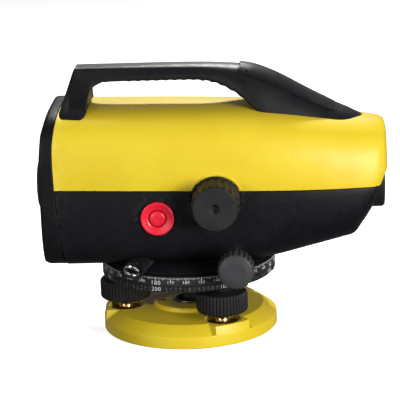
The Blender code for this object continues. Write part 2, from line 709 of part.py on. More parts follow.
def make_compensator():
    frame = block("compensator_frame", (54.0, -21.0, 66.0), (66.0, 21.0, 110.0), "aluminium")
    window = block("cut_frame_window", (50.0, -17.0, 71.0), (70.0, 17.0, 106.0), cutter=True)
    boolean(frame, window)
    pivot = (60.0, 0.0, 103.0)
    rod("suspension_pin", 1.0, -16.7, 16.7, "steel", at=pivot, axis=(0, 1, 0), segments=12)
    plate = block("pendulum", (57.4, -12.0, 76.5), (62.6, 12.0, 105.4), "brass", pivot)
    bore = rod("cut_pendulum_bore", 1.3, -20.0, 20.0, at=pivot, axis=(0, 1, 0), segments=12,
               cutter=True)
    light = block("cut_pendulum_light", (50.0, -8.3, 79.7), (70.0, 8.3, 98.3), cutter=True)
    boolean(plate, bore)
    boolean(plate, light)
    block("pendulum_prism", (57.8, -8.0, 80.0), (62.2, 8.0, 98.0), "glass", pivot)
    block("damper_magnet", (57.0, -8.0, 71.3), (63.0, 8.0, 74.6), "steel")
    block("fixed_prism", (48.0, -18.5, 79.0), (53.7, 18.5, 99.0), "glass")


# ---------------------------------------------------------------- button, loupe, level

def make_button():
    spot = (BUTTON_X, 0.0, BUTTON_Z)
    out = (0.0, -1.0, 0.0)
    # The bezel runs on inside the casing as a cup, which guides the stem and seats the spring.
    turned("button_bezel", ((2.0, 27.0), (6.4, 27.0), (6.4, 38.6), (BUTTON_BEZEL_RADIUS, 38.6),
                            (BUTTON_BEZEL_RADIUS, 43.2), (9.3, 43.9), (8.6, 43.9), (5.6, 42.2),
                            (5.2, 41.8), (5.2, 28.2), (2.0, 28.2)), "red_plastic",
           at=spot, axis=out, segments=20)
    turned("push_button", ((0.0, 26.5), (1.6, 26.5), (1.6, 37.4), (BUTTON_RADIUS, 37.4),
                           (BUTTON_RADIUS, 42.6), (4.2, 43.3), (0.0, 43.7)), "red_plastic",
           at=spot, axis=out, segments=20)
    coil_spring("button_spring", spot, 2.6, 0.35, 29.0, 34.9, 4)


def coil_spring(name, spot, radius, wire, low, high, turns):
    """A round-wire spring along -Y, made as one closed tube."""
    sides = 5
    steps_per_turn = 8
    steps = turns * steps_per_turn
    rings = []
    for i in range(steps + 1):
        turn = 2.0 * math.pi * i / steps_per_turn
        reach = low + (high - low) * i / steps
        centre = Vector((spot[0] + radius * math.cos(turn), -reach, spot[2] + radius * math.sin(turn)))
        outward = Vector((math.cos(turn), 0.0, math.sin(turn)))
        ring = []
        for j in range(sides):
            side = 2.0 * math.pi * j / sides
            ring.append(centre + wire * (outward * math.cos(side) + Vector((0, -1, 0)) * math.sin(side)))
        rings.append(ring)
    loft(name, rings, "steel")


def make_loupe():
    """A tapered boss that leans out of the casing, with a ringed window over the circle."""
    form = bmesh.new()
    turn = axis_matrix(LOUPE_NORMAL)
    sides = 24
    for i in range(sides):
        angle = 2.0 * math.pi * i / sides
        for depth, radius in ((0.0, LOUPE_RADIUS + 0.6), (-1.3, LOUPE_RADIUS + 0.6)):
            spot = Vector((radius * math.cos(angle), radius * math.sin(angle), depth))
            form.verts.new(LOUPE_CENTRE + turn @ spot)
        root = Vector((-26.0 + 8.0 * math.cos(angle), -40.0, 50.0 + 2.4 * math.sin(angle)))
        form.verts.new(root)
    bmesh.ops.convex_hull(form, input=form.verts)
    loose = [vert for vert in form.verts if not vert.link_faces]
    bmesh.ops.delete(form, geom=loose, context="VERTS")
    points = [vert.co.copy() for vert in form.verts]
    form.verts.index_update()
    faces = [tuple(vert.index for vert in face.verts) for face in form.faces]
    form.free()
    holder = add_mesh("loupe_housing", points, faces, "black_plastic")
    boolean(holder, casing_solid("cut_loupe_casing", HOUSING_STATIONS, -1.0, GAP, HOUSING_REAR))
    skirt = turned("cut_loupe_skirt", ((0.0, 44.0), (50.7, 44.0), (50.7, 45.9), (43.2, 49.0),
                                       (0.0, 49.6)), segments=56, cutter=True)
    boolean(holder, skirt)
    bore = LOUPE_RADIUS + 0.1
    well = turned("cut_loupe_well", ((0.0, -20.0), (4.6, -20.0), (4.6, -0.9), (bore, -0.9),
                                     (bore, 5.0), (0.0, 5.0)), at=LOUPE_CENTRE,
                  axis=LOUPE_NORMAL, segments=20, cutter=True)
    boolean(holder, well)
    turned("loupe_ring", ((4.3, -0.5), (LOUPE_RADIUS - 0.2, -0.5), (LOUPE_RADIUS - 0.2, 0.4),
                          (5.1, 0.9), (4.6, 0.9), (4.3, 0.5)), "steel", at=LOUPE_CENTRE,
           axis=LOUPE_NORMAL, segments=20)
    turned("loupe_lens", ((0.0, -0.5), (4.0, -0.5), (4.0, 0.1), (0.0, 0.6)), "glass", at=LOUPE_CENTRE,
           axis=LOUPE_NORMAL, segments=20)


def make_circular_level():
    level_x, level_y = 62.0, 49.6
    case = turned("level_case", ((0.0, 84.6), (8.0, 84.6), (9.0, 85.6), (9.0, 93.4), (8.4, 94.0),
                                 (7.3, 94.0), (7.3, 87.2), (0.0, 87.2)), "black_metal",
                  at=(level_x, level_y, 0.0), segments=20)
    arm = block("join_level_arm", (level_x - 7.0, 36.0, 85.2), (level_x + 7.0, level_y, 88.8),
                cutter=True)
    boolean(case, arm, "UNION")
    bowl = rod("cut_level_bowl", 7.3, 87.2, 97.0, at=(level_x, level_y, 0.0), segments=20,
               cutter=True)
    boolean(case, bowl)
    boolean(case, casing_solid("cut_level_casing", HOUSING_STATIONS, -1.0, GAP, HOUSING_REAR))
    boolean(case, casing_solid("cut_level_cover", COVER_STATIONS, 1.0, GAP, COVER_REAR))
    turned("level_vial", ((0.0, 87.5), (7.0, 87.5), (7.0, 93.0), (4.0, 93.8), (0.0, 94.0)), "glass",
           at=(level_x, level_y, 0.0), segments=20)


# ---------------------------------------------------------------- handle

def handle_ring(station):
    top_x, top_z, low_x, low_z, top_half, low_half = station
    top = Vector((top_x, 0.0, top_z))
    low = Vector((low_x, 0.0, low_z))
    ring = []
    for share, half, inset in ((0.0, top_half, 0.55), (0.07, top_half, 0.88), (0.22, top_half, 1.0)):
        width = half + (low_half - top_half) * share
        ring.append((top.lerp(low, share), width * inset))
    for share, inset in ((0.78, 1.0), (0.93, 0.92), (1.0, 0.7)):
        width = top_half + (low_half - top_half) * share
        ring.append((top.lerp(low, share), width * inset))
    near = [centre + Vector((0.0, -width, 0.0)) for centre, width in ring]
    far = [centre + Vector((0.0, width, 0.0)) for centre, width in reversed(ring)]
    return near + far


def make_handle():
    handle = loft("handle", [handle_ring(station) for station in HANDLE_STATIONS], "black_rubber")
    body = casing_solid("cut_handle_cover", COVER_STATIONS, 1.0, HANDLE_CLEARANCE + GAP, COVER_REAR)
    boolean(handle, body)
    boolean(handle, sight_saddle("cut_sight_seat", 0.0, True))
    sight_saddle("sight_cover", GAP, False)
    for name, x, cover_height, top in HANDLE_SCREWS:
        hole = rod(f"cut_handle_screw_{name}", 2.3, 120.0, top + 0.6, at=(x, 0.0, 0.0), segments=14,
                   cutter=True)
        boolean(handle, hole)
        under = parting_z(x) + cover_height - WALL - 0.4
        turned(f"handle_screw_{name}", ((0.0, under - 3.6), (4.0, under - 3.6), (4.0, under),
                                        (2.0, under), (2.0, top), (0.0, top)), "steel",
               at=(x, 0.0, 0.0), segments=12)


def sight_saddle(name, gap, cutter):
    """The raised saddle on the rear of the handle; the cutter clears all above its seat."""
    # x, top, seat, half width at the seat, half width at the top
    stations = ((35.0, 160.3, 155.6, 9.3, 5.0), (42.0, 159.0, 153.6, 10.6, 5.4),
                (50.0, 156.2, 150.2, 11.6, 5.8), (60.0, 151.2, 145.6, 12.0, 5.8),
                (72.0, 144.4, 139.4, 11.6, 5.6), (84.0, 138.0, 134.0, 10.2, 5.0),
                (90.0, 134.6, 131.9, 9.0, 4.6))
    end_gaps = {stations[0][0]: gap, stations[-1][0]: -gap}
    rings = []
    for x, top, seat, half, crown_half in stations:
        start = x + end_gaps.get(x, 0.0)
        floor = seat + gap
        if cutter:
            high = top + 12.0
            section = ((-30.0, floor), (30.0, floor), (30.0, high), (-30.0, high))
        else:
            crown = top - 1.6
            section = ((-half, floor), (half, floor), (half * 0.9, crown), (crown_half, top),
                       (-crown_half, top), (-half * 0.9, crown))
        rings.append([Vector((start, y, z)) for y, z in section])
    return loft(name, rings, None if cutter else "black_plastic", cutter=cutter)


def main():
    clear_scene()
    make_materials()
    make_base_plate()
    make_base_fittings()
    for name, angle in FOOTSCREWS:
        make_footscrew(name, angle)
    make_tribrach()
    make_circle()
    make_worm_drive()
    make_lower_housing()
    make_top_cover()
    make_front_bezel()
    make_telescope()
    make_focus_drive()
    make_compensator()
    make_button()
    make_loupe()
    make_circular_level()
    make_handle()


main()
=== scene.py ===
"""Looks of the automatic level: fine meshes, materials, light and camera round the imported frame.

Sizes are in millimetres and degrees unless a name ends in _m; MM turns them into metres.
The standing axis is Z, the telescope runs along +X to the eyepiece, and -Y is the side with
the focusing knob.
"""

import json
from math import asin, atan2, copysign, cos, degrees, pi, radians, sin

import bmesh
import bpy
from mathutils import Matrix, Vector


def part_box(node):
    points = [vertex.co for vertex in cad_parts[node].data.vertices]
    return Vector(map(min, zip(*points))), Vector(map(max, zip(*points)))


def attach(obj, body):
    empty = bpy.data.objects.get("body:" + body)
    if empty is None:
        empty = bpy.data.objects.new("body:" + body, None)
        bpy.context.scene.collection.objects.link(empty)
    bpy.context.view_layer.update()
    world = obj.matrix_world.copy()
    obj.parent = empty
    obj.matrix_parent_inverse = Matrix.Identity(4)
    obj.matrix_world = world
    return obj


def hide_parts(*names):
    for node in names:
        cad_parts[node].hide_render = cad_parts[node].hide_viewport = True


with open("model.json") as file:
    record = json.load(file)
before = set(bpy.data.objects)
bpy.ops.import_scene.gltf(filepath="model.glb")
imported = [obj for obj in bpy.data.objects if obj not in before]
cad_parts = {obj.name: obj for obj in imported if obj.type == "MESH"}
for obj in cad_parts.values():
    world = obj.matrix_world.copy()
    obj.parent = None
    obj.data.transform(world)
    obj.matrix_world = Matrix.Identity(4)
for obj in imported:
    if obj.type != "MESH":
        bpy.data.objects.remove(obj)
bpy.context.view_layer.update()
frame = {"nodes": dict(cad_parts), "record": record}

MM = 0.001
UP = (0, 0, 1)
NEAR = (0, -1, 0)
FAR = (0, 1, 0)
ALONG = (1, 0, 0)


def corners(node):
    """Lowest and highest corner of a CAD node, in millimetres."""
    low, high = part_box(node)
    return low / MM, high / MM


def middle(node):
    low, high = corners(node)
    return (low + high) / 2


def beside_middle(node):
    """The node's middle, moved to the middle plane of the object."""
    spot = middle(node)
    return (spot.x, 0, spot.z)


# ---- materials

def add_node(tree, kind, **values):
    """A new shader node; an underscore in an input's name stands for a space."""
    node = tree.nodes.new("ShaderNode" + kind)
    set_inputs(node, values)
    return node


def set_inputs(node, values):
    for key, value in values.items():
        node.inputs[key.replace("_", " ")].default_value = value


def new_material(name, colour, roughness, **inputs):
    """A Principled material; its constants are set on the shader's own sockets."""
    material = bpy.data.materials.new(name)
    material.use_nodes = True
    set_inputs(material.node_tree.nodes["Principled BSDF"],
        {"Base_Color": (*colour, 1), "Roughness": roughness, **inputs})
    return material


class Recipe:
    """Short ways to add nodes to one material."""

    def __init__(self, material):
        self.tree = material.node_tree
        self.shader = self.tree.nodes["Principled BSDF"]
        self.place = self.add("TexCoord").outputs["Object"]
        self.height = None

    def add(self, kind, **values):
        return add_node(self.tree, kind, **values)

    def link(self, source, target):
        self.tree.links.new(source, target)

    def noise(self, size_mm, detail=2, roughness=0.5):
        """Noise whose features are about size_mm across."""
        node = self.add("TexNoise", Scale=1 / (size_mm * MM), Detail=detail, Roughness=roughness)
        self.link(self.place, node.inputs["Vector"])
        return node.outputs["Fac"]

    def cells(self, size_mm):
        node = self.add("TexVoronoi", Scale=1 / (size_mm * MM))
        self.link(self.place, node.inputs["Vector"])
        return node.outputs["Distance"]

    def rings(self, size_mm, centre, axis):
        """Turning marks: rings round an axis through centre, in millimetres."""
        mapping = self.add("Mapping", Location=[-value * MM for value in centre])
        self.link(self.place, mapping.inputs["Vector"])
        wave = self.add("TexWave", Scale=1 / (size_mm * MM) / 3, Distortion=0.6, Detail=2)
        wave.wave_type = "RINGS"
        wave.rings_direction = axis
        self.link(mapping.outputs["Vector"], wave.inputs["Vector"])
        return wave.outputs["Fac"]

    def spread(self, source, low, high, low_out=0, high_out=1):
        """Map the range low..high of a value to low_out..high_out, and clamp it."""
        node = self.add("MapRange", From_Min=low, From_Max=high, To_Min=low_out, To_Max=high_out)
        self.link(source, node.inputs["Value"])
        return node.outputs["Result"]

    def mix(self, factor, first, second):
        """Mix two colours; each is a colour or a node's output."""
        node = self.add("Mix")
        node.data_type = "RGBA"
        self.link(factor, node.inputs["Factor"])
        for value, socket in ((first, node.inputs[6]), (second, node.inputs[7])):
            if isinstance(value, tuple):
                socket.default_value = (*value, 1)
            else:
                self.link(value, socket)
        return node.outputs[2]

    def patches(self, size_mm, detail, low, high, first, second):
        """Two colours that change places in soft patches."""
        return self.mix(self.spread(self.noise(size_mm, detail), low, high), first, second)

    def worn_edges(self, low, high, size_mm, start, end):
        """1 in patches along convex edges, where paint and plastic wear first."""
        pointed = self.spread(self.add("NewGeometry").outputs["Pointiness"], low, high)
        node = self.add("Math")
        node.operation = "MULTIPLY"
        self.link(pointed, node.inputs[0])
        self.link(self.spread(self.noise(size_mm, 4), start, end), node.inputs[1])
        return node.outputs[0]

    def colour(self, source):
        self.link(source, self.shader.inputs["Base Color"])

    def roughness(self, source, low, high):
        self.link(self.spread(source, 0.3, 0.7, low, high), self.shader.inputs["Roughness"])

    def bump(self, source, depth_mm, strength=1):
        """Add a bump of the given depth; later bumps add to the earlier ones."""
        node = self.add("Bump", Strength=strength, Distance=depth_mm * MM)
        self.link(source, node.inputs["Height"])
        if self.height:
            self.link(self.height, node.inputs["Normal"])
        self.height = node.outputs["Normal"]
        self.link(self.height, self.shader.inputs["Normal"])


def shade(colour, share, more=0):
    """The colour times share, plus more, and never above white."""
    return tuple(min(1, value * share + more) for value in colour)


def make_yellow(name, colour, dark, pale):
    """Enamel over a moulded casing: orange peel, cloudy tone, rubbed edges and light dust."""
    material = new_material(name, colour, 0.44, Specular_IOR_Level=0.4, Coat_Weight=0.06,
        Coat_Roughness=0.25)
    recipe = Recipe(material)
    tone = recipe.patches(28, 3, 0.35, 0.7, colour, dark)
    specks = recipe.spread(recipe.noise(1.6, 4, 0.7), 0.66, 0.8, 0, 0.35)
    tone = recipe.mix(specks, tone, dark)
    recipe.colour(recipe.mix(recipe.worn_edges(0.54, 0.64, 4, 0.35, 0.65), tone, pale))
    recipe.roughness(recipe.noise(9, 3), 0.40, 0.50)
    recipe.bump(recipe.noise(1.1, 1), 0.028)
    recipe.bump(recipe.noise(0.3, 2), 0.008)
    return material


def make_moulded(name, colour, worn, roughness, grain, depth, gloss=0.3):
    """Moulded black or grey plastic with a spark-eroded grain."""
    material = new_material(name, colour, roughness, Specular_IOR_Level=gloss)
    recipe = Recipe(material)
    tone = recipe.patches(14, 3, 0.3, 0.75, colour, worn)
    grains = recipe.spread(recipe.noise(grain * 1.5, 2, 0.6), 0.56, 0.72, 0, 0.55)
    tone = recipe.mix(grains, tone, shade(worn, 2))
    recipe.colour(recipe.mix(recipe.worn_edges(0.54, 0.64, 3, 0.45, 0.7), tone, shade(worn, 2.2, 0.01)))
    recipe.roughness(recipe.noise(5, 3), roughness - 0.06, roughness + 0.08)
    recipe.bump(recipe.cells(grain), depth)
    recipe.bump(recipe.noise(grain * 0.45, 2), depth * 0.6)
    return material


def make_metal(name, colour, dark, roughness, centre=(0, 0, 0), axis="Z", groove=0.25):
    """Turned metal with fine tool marks, a little tarnish and uneven polish."""
    material = new_material(name, colour, roughness, Metallic=1)
    recipe = Recipe(material)
    tarnish = recipe.spread(recipe.noise(2.6, 4, 0.6), 0.4, 0.75)
    recipe.colour(recipe.mix(tarnish, colour, dark))
    recipe.roughness(recipe.noise(1.2, 3), roughness - 0.05, roughness + 0.12)
    recipe.bump(recipe.rings(groove, centre, axis), 0.006, 0.5)
    return material


def make_anodised(name):
    """Dull black metal with a paler scuff along its edges."""
    material = new_material(name, (0.012, 0.012, 0.013), 0.4, Specular_IOR_Level=0.5)
    recipe = Recipe(material)
    tone = recipe.patches(6, 4, 0.35, 0.7, (0.012, 0.012, 0.0135), (0.022, 0.021, 0.022))
    recipe.colour(recipe.mix(recipe.worn_edges(0.51, 0.58, 1.5, 0.5, 0.7), tone, (0.12, 0.12, 0.125)))
    recipe.roughness(recipe.noise(2, 3), 0.34, 0.48)
    recipe.bump(recipe.noise(0.15, 2), 0.004)
    return material


def make_red(name, colour, dark):
    """Glossy moulded red."""
    material = new_material(name, colour, 0.3, Specular_IOR_Level=0.5, Coat_Weight=0.25,
        Coat_Roughness=0.12)
    recipe = Recipe(material)
    recipe.colour(recipe.patches(4, 4, 0.35, 0.75, colour, dark))
    recipe.roughness(recipe.noise(1.5, 3), 0.26, 0.4)
    recipe.bump(recipe.noise(0.35, 2), 0.006)
    return material


def make_paint_white(name):
    """Matt white filling, a little uneven."""
    material = new_material(name, (0.72, 0.73, 0.74), 0.55)
    recipe = Recipe(material)
    recipe.colour(recipe.patches(0.7, 4, 0.4, 0.7, (0.78, 0.79, 0.8), (0.5, 0.51, 0.52)))
    recipe.bump(recipe.noise(0.2, 2), 0.01)
    return material


def make_glass(name, tint, roughness=0.02):
    """Polished glass with a faint cloud of dust."""
    material = new_material(name, tint, roughness, Transmission_Weight=1, IOR=1.52)
    recipe = Recipe(material)
    recipe.colour(recipe.patches(6, 4, 0.4, 0.8, tint, shade(tint, 0.86)))
    recipe.roughness(recipe.noise(1.8, 4), roughness, roughness + 0.05)
    return material


def make_floor_paper():
    """White paper with a weak glow of its own, which keeps the shadows faint."""
    material = new_material("floor_paper", (0.86, 0.86, 0.87), 0.8, Emission_Strength=0.75,
        Emission_Color=(1, 1, 1, 1))
    recipe = Recipe(material)
    recipe.colour(recipe.mix(recipe.noise(60, 3), (0.87, 0.87, 0.88), (0.85, 0.85, 0.86)))
    return material


YELLOW = make_yellow("yellow_enamel", (0.79, 0.59, 0.022), (0.75, 0.54, 0.016), (0.86, 0.70, 0.12))
HOUSING_BLACK = make_moulded("housing_black", (0.0045, 0.0045, 0.006), (0.007, 0.0065, 0.008), 0.46, 0.8,
    0.06, 0.17)
KNOB_BLACK = make_moulded("knob_black", (0.0085, 0.0085, 0.0095), (0.014, 0.014, 0.015), 0.6, 0.35, 0.010)
FACE_GREY = make_moulded("knob_face_grey", (0.0125, 0.0125, 0.014), (0.020, 0.0195, 0.021), 0.5, 0.5,
    0.02)
DRIVE_GREY = make_moulded("drive_grey", (0.037, 0.037, 0.040), (0.05, 0.049, 0.052), 0.48, 0.5, 0.02)
RUBBER = make_moulded("handle_rubber", (0.006, 0.0055, 0.007), (0.009, 0.0085, 0.0095), 0.46, 0.7,
    0.04, 0.25)
EYE_RUBBER = make_moulded("eyepiece_rubber", (0.009, 0.009, 0.010), (0.015, 0.0145, 0.016), 0.6, 0.5,
    0.02)
ANODISED = make_anodised("anodised_black")
RED = make_red("red_gloss", (0.86, 0.016, 0.042), (0.74, 0.012, 0.032))
BRASS = make_metal("turned_brass", (0.78, 0.50, 0.19), (0.50, 0.27, 0.085), 0.24)
# Brass darkened to stand for the shade inside the footscrew pockets: painted shade on the seat cups.
SHADED_SEAT_BRASS = make_metal("seat_brass_painted_shade", (0.26, 0.14, 0.05), (0.12, 0.06, 0.025), 0.42)
STEEL = make_metal("turned_steel", (0.64, 0.64, 0.65), (0.42, 0.42, 0.43), 0.26)
CHROME = make_metal("plated_ring", (0.78, 0.78, 0.79), (0.52, 0.52, 0.53), 0.12, middle("loupe_ring"),
    groove=0.4)
ALUMINIUM = make_metal("machined_aluminium", (0.70, 0.71, 0.73), (0.52, 0.53, 0.55), 0.36,
    middle("telescope_tube"), "X")
WHITE = make_paint_white("graduation_white")
LENS = make_glass("coated_lens", (0.70, 0.80, 0.86))
WINDOW = make_glass("window_glass", (0.55, 0.56, 0.56), 0.05)
LIQUID = make_glass("level_liquid", (0.62, 0.86, 0.30))

CAD_FINISH = {
    "yellow_paint": YELLOW,
    "black_plastic": HOUSING_BLACK,
    "black_rubber": RUBBER,
    "grey_plastic": DRIVE_GREY,
    "red_plastic": RED,
    "brass": BRASS,
    "steel": STEEL,
    "aluminium": ALUMINIUM,
    "black_metal": ANODISED,
    "glass": LENS,
}


def finish_cad_nodes():
    """Give every CAD node the procedural material of its slot."""
    for part in frame["record"]["subparts"]:
        item = frame["nodes"][part["node"]]
        item.data.materials.clear()
        item.data.materials.append(CAD_FINISH[part["material_slot"]])


BODY_OF = {node: body for body, nodes in frame["record"]["behaviour"]["bodies"].items() for node in nodes}


# ---- mesh tools

def new_object(name, data):
    item = bpy.data.objects.new(name, data)
    bpy.context.scene.collection.objects.link(item)
    return item


def shade_smooth(mesh, sharp):
    """Smooth shading, with a hard line where faces meet at more than sharp degrees."""
    mesh.shade_smooth()
    mesh.set_sharp_from_angle(angle=radians(sharp))


def object_from(name, form, material=None, sharp=30):
    """An object from a bmesh, which is used up."""
    mesh = bpy.data.meshes.new(name)
    form.to_mesh(mesh)
    form.free()
    if material:
        mesh.materials.append(material)
    shade_smooth(mesh, sharp)
    return new_object(name, mesh)


def evaluated_mesh(item):
    """A new mesh of the object with its modifiers applied."""
    bpy.context.view_layer.update()
    graph = bpy.context.evaluated_depsgraph_get()
    return bpy.data.meshes.new_from_object(item.evaluated_get(graph))


def add_mesh(name, points, faces, material=None, sharp=30, weld=False):
    """An object from points in millimetres, with outward faces and smooth shading."""
    mesh = bpy.data.meshes.new("shape")
    mesh.from_pydata([Vector(spot) * MM for spot in points], [], faces)
    form = bmesh.new()
    form.from_mesh(mesh)
    bpy.data.meshes.remove(mesh)
    if weld:
        bmesh.ops.remove_doubles(form, verts=form.verts, dist=0.002 * MM)
        bmesh.ops.dissolve_degenerate(form, edges=form.edges, dist=0.001 * MM)
    bmesh.ops.recalc_face_normals(form, faces=form.faces)
    return object_from(name, form, material, sharp)


def polar(radius, angle, z):
    return Vector((radius * cos(angle), radius * sin(angle), z))


def around(count):
    """Angles in equal steps once round."""
    return [2 * pi * i / count for i in range(count)]


def ring_faces(first, second, count):
    """Quads between two rings of points that start at the numbers first and second."""
    return [(first + i, first + (i + 1) % count, second + (i + 1) % count, second + i)
        for i in range(count)]


def loft(name, rings, material=None, closed=False, sharp=30):
    """Skin closed rings of equal length; end rings are capped, or joined when closed."""
    count = len(rings[0])
    points = [spot for ring in rings for spot in ring]
    faces = []
    for i in range(len(rings) - 1):
        faces += ring_faces(i * count, (i + 1) * count, count)
    last = (len(rings) - 1) * count
    if closed:
        faces += ring_faces(last, 0, count)
    else:
        faces.append(tuple(range(count)))
        faces.append(tuple(range(last, last + count)))
    return add_mesh(name, points, faces, material, sharp)


def rounded(line, size, steps=3, closed=False):
    """Round the corners of a line of tuples; the ends of an open line stay as they are."""
    count = len(line)
    width = max(len(entry) for entry in line)
    spots = [Vector((*entry, *(0 for _ in range(width - len(entry))))) for entry in line]
    out = []
    for i, corner in enumerate(spots):
        if not closed and i in (0, count - 1):
            out.append(tuple(corner))
            continue
        before = spots[i - 1] - corner
        after = spots[(i + 1) % count] - corner
        reach = min(size, 0.45 * before.length, 0.45 * after.length)
        start = corner + before.normalized() * reach
        end = corner + after.normalized() * reach
        for step in range(steps + 1):
            share = step / steps
            spot = start * (1 - share) ** 2 + corner * (2 * share * (1 - share)) + end * share ** 2
            out.append(tuple(spot))
    return out


def turned(name, profile, material, at=(0, 0, 0), axis=UP, segments=96, shape=None, corner=0.4, steps=3):
    """Turn a profile of (radius, height) or (radius, height, weight) about an axis.

    A profile that starts on the axis is an open line, any other is a closed loop. Its
    corners are rounded. shape(angle) times the weight is added to the radius.
    """
    turn = Vector(axis).to_track_quat("Z", "Y").to_matrix()
    centre = Vector(at)
    closed = profile[0][0] != 0
    line = rounded([(*entry, 0)[:3] for entry in profile], corner, steps, closed)
    points = []
    rows = []
    for radius, height, weight in line:
        if radius == 0:
            rows.append((len(points), 1))
            points.append(centre + turn @ Vector((0, 0, height)))
            continue
        rows.append((len(points), segments))
        for angle in around(segments):
            reach = radius + (shape(angle) * weight if weight else 0)
            points.append(centre + turn @ polar(reach, angle, height))
    pairs = list(zip(rows, rows[1:]))
    if closed:
        pairs.append((rows[-1], rows[0]))
    faces = []
    for (first, first_count), (second, second_count) in pairs:
        if first_count == 1 or second_count == 1:
            pole, rim = (first, second) if first_count == 1 else (second, first)
            faces += [(pole, rim + i, rim + (i + 1) % segments) for i in range(segments)]
        else:
            faces += ring_faces(first, second, segments)
    return add_mesh(name, points, faces, material)


def ribs(count, depth, power=1):
    """Rounded ribs with narrow valleys between them."""
    return lambda angle: -depth * (1 - abs(cos(count * angle / 2)) ** power)


def flute(count, depth):
    """Round hollows with sharp ridges between them."""
    return lambda angle: -depth * abs(cos(count * angle / 2))


def block(name, low, high, material, soft=0.2):
    """A box with softened edges."""
    form = bmesh.new()
    bmesh.ops.create_cube(form, size=1)
    low = Vector(low)
    high = Vector(high)
    for vert in form.verts:
        spot = [low[i] if vert.co[i] < 0 else high[i] for i in range(3)]
        vert.co = Vector(spot) * MM
    if soft:
        bmesh.ops.bevel(form, geom=list(form.edges), offset=soft * MM, segments=3, profile=0.5,
            affect="EDGES")
    return object_from(name, form, material)


def combine(target, *cutters, operation="DIFFERENCE", sharp=30):
    """Apply Booleans to target, then remove the cutters."""
    for cutter in cutters:
        step = target.modifiers.new("cut", "BOOLEAN")
        step.object = cutter
        step.operation = operation
        step.solver = "EXACT"
    mesh = evaluated_mesh(target)
    target.modifiers.clear()
    old = target.data
    target.data = mesh
    bpy.data.meshes.remove(old)
    for cutter in cutters:
        bpy.data.objects.remove(cutter, do_unlink=True)
    shade_smooth(mesh, sharp)
    return target


def joined(name, items):
    """Join objects into the first one, keeping their materials."""
    with bpy.context.temp_override(active_object=items[0], object=items[0],
            selected_editable_objects=items):
        bpy.ops.object.join()
    items[0].name = name
    return items[0]


def goes_with(item, node):
    """item is a further piece on the node's body, with the node's slot or another one."""
    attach(item, BODY_OF[node])


def stands_for(item, node):
    """item rides on the node's body and is shown in its place."""
    goes_with(item, node)
    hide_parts(node)


def smooth_stations(stations, samples):
    """Points on a smooth curve through the stations, whose first value grows steadily."""
    count = len(stations)
    slopes = []
    for i in range(count):
        low = stations[max(i - 1, 0)]
        high = stations[min(i + 1, count - 1)]
        slopes.append([(b - a) / (high[0] - low[0]) for a, b in zip(low, high)])
    out = []
    for place in samples:
        i = max(k for k in range(count - 1) if stations[k][0] <= place or k == 0)
        start = stations[i]
        end = stations[i + 1]
        span = end[0] - start[0]
        t = (place - start[0]) / span
        a = 2 * t ** 3 - 3 * t ** 2 + 1
        b = t ** 3 - 2 * t ** 2 + t
        c = 1 - a
        d = t ** 3 - t ** 2
        out.append(tuple(a * p + b * span * m + c * q + d * span * n for p, m, q,
            n in zip(start, slopes[i], end, slopes[i + 1])))
    return out


def steps_between(values, count):
    """Each gap between the values split into count equal steps."""
    out = []
    for low, high in zip(values, values[1:]):
        out += [low + (high - low) * i / count for i in range(count)]
    return out + [values[-1]]


# ---- casing

WALL = 2.5
COVER_LIFT = 0.3
PARTING_FRONT_Z = 94.6
PARTING_SLOPE = 0.028
CASING_FRONT = -72
COVER_REAR = corners("top_cover")[1].x
HOOD_START = 110
HOOD_Z = 98
HOOD_SLOPE = 0.42
# x, half width, depth below the parting line, squareness
HOUSING_STATIONS = (
    (-72, 42, 49.3, 5),
    (-40, 42, 48.3, 5),
    (0, 41.5, 47.2, 5),
    (40, 40.6, 46, 4.4),
    (54, 39.8, 44.4, 3.6),
    (68, 38.6, 41.2, 3.2),
    (82, 36.6, 37.7, 3),
    (94, 34.2, 34.6, 2.9),
    (100, 32.8, 32.4, 2.9),
    (104.5, 31.6, 26.2, 2.8),
    (108.5, 30.2, 19.8, 2.8),
    (111.2, 29.2, 14, 2.8),
    (112.6, 28.4, 7.5, 2.8),
)
# x, half width, height above the parting line, squareness
COVER_STATIONS = (
    (-72, 42, 43.3, 4),
    (-40, 42, 43.5, 3.9),
    (0, 41.5, 44, 3.7),
    (34, 40.8, 43.9, 3.5),
    (60, 39.4, 42.3, 3.2),
    (82, 36.6, 39.8, 2.9),
    (96, 33.8, 38, 2.7),
    (106, 31.4, 36.9, 2.6),
    (112.6, 29.2, 36.1, 2.5),
    (116.4, 26.8, 35.3, 2.5),
    (118.6, 23.8, 33.4, 2.5),
    (119.6, 18.8, 28.8, 2.4),
)
ARC_SEGMENTS = 56
RIM = 0.55
RIM_CHAMFER = 0.12

OPTICAL_Z = middle("objective_cell").z
OPTICAL_AT = (0, 0, OPTICAL_Z)
FOCUS_AT = beside_middle("focus_knob")
BUTTON_AT = beside_middle("button_bezel")
DRIVE_AT = beside_middle("worm_shaft")
CUT_OUT_RADIUS = 14.65
BUTTON_HOLE_RADIUS = 10.1
SHAFT_HOLE_RADIUS = 3.6
EYEPIECE_RADIUS = corners("eyepiece_ring")[1].y


def parting_z(x):
    return PARTING_FRONT_Z - PARTING_SLOPE * (x - CASING_FRONT)


def joint_x(z):
    """X of the joint between bezel and casing, which bows forward."""
    mid_z = 113
    bow = 0.0052 if z > mid_z else 0.00114
    return -74.5 + bow * (z - mid_z) ** 2


def power_arc(half_width, height, squareness):
    """Points (y, rise) over half a superellipse, from -y to +y."""
    spots = []
    for i in range(ARC_SEGMENTS + 1):
        turn = pi * i / ARC_SEGMENTS
        across = abs(cos(turn)) ** (2 / squareness)
        rise = sin(turn) ** (2 / squareness) if 0 < i < ARC_SEGMENTS else 0
        side = -1 if i < ARC_SEGMENTS / 2 else 1
        spots.append((side * half_width * across, height * rise))
    return spots


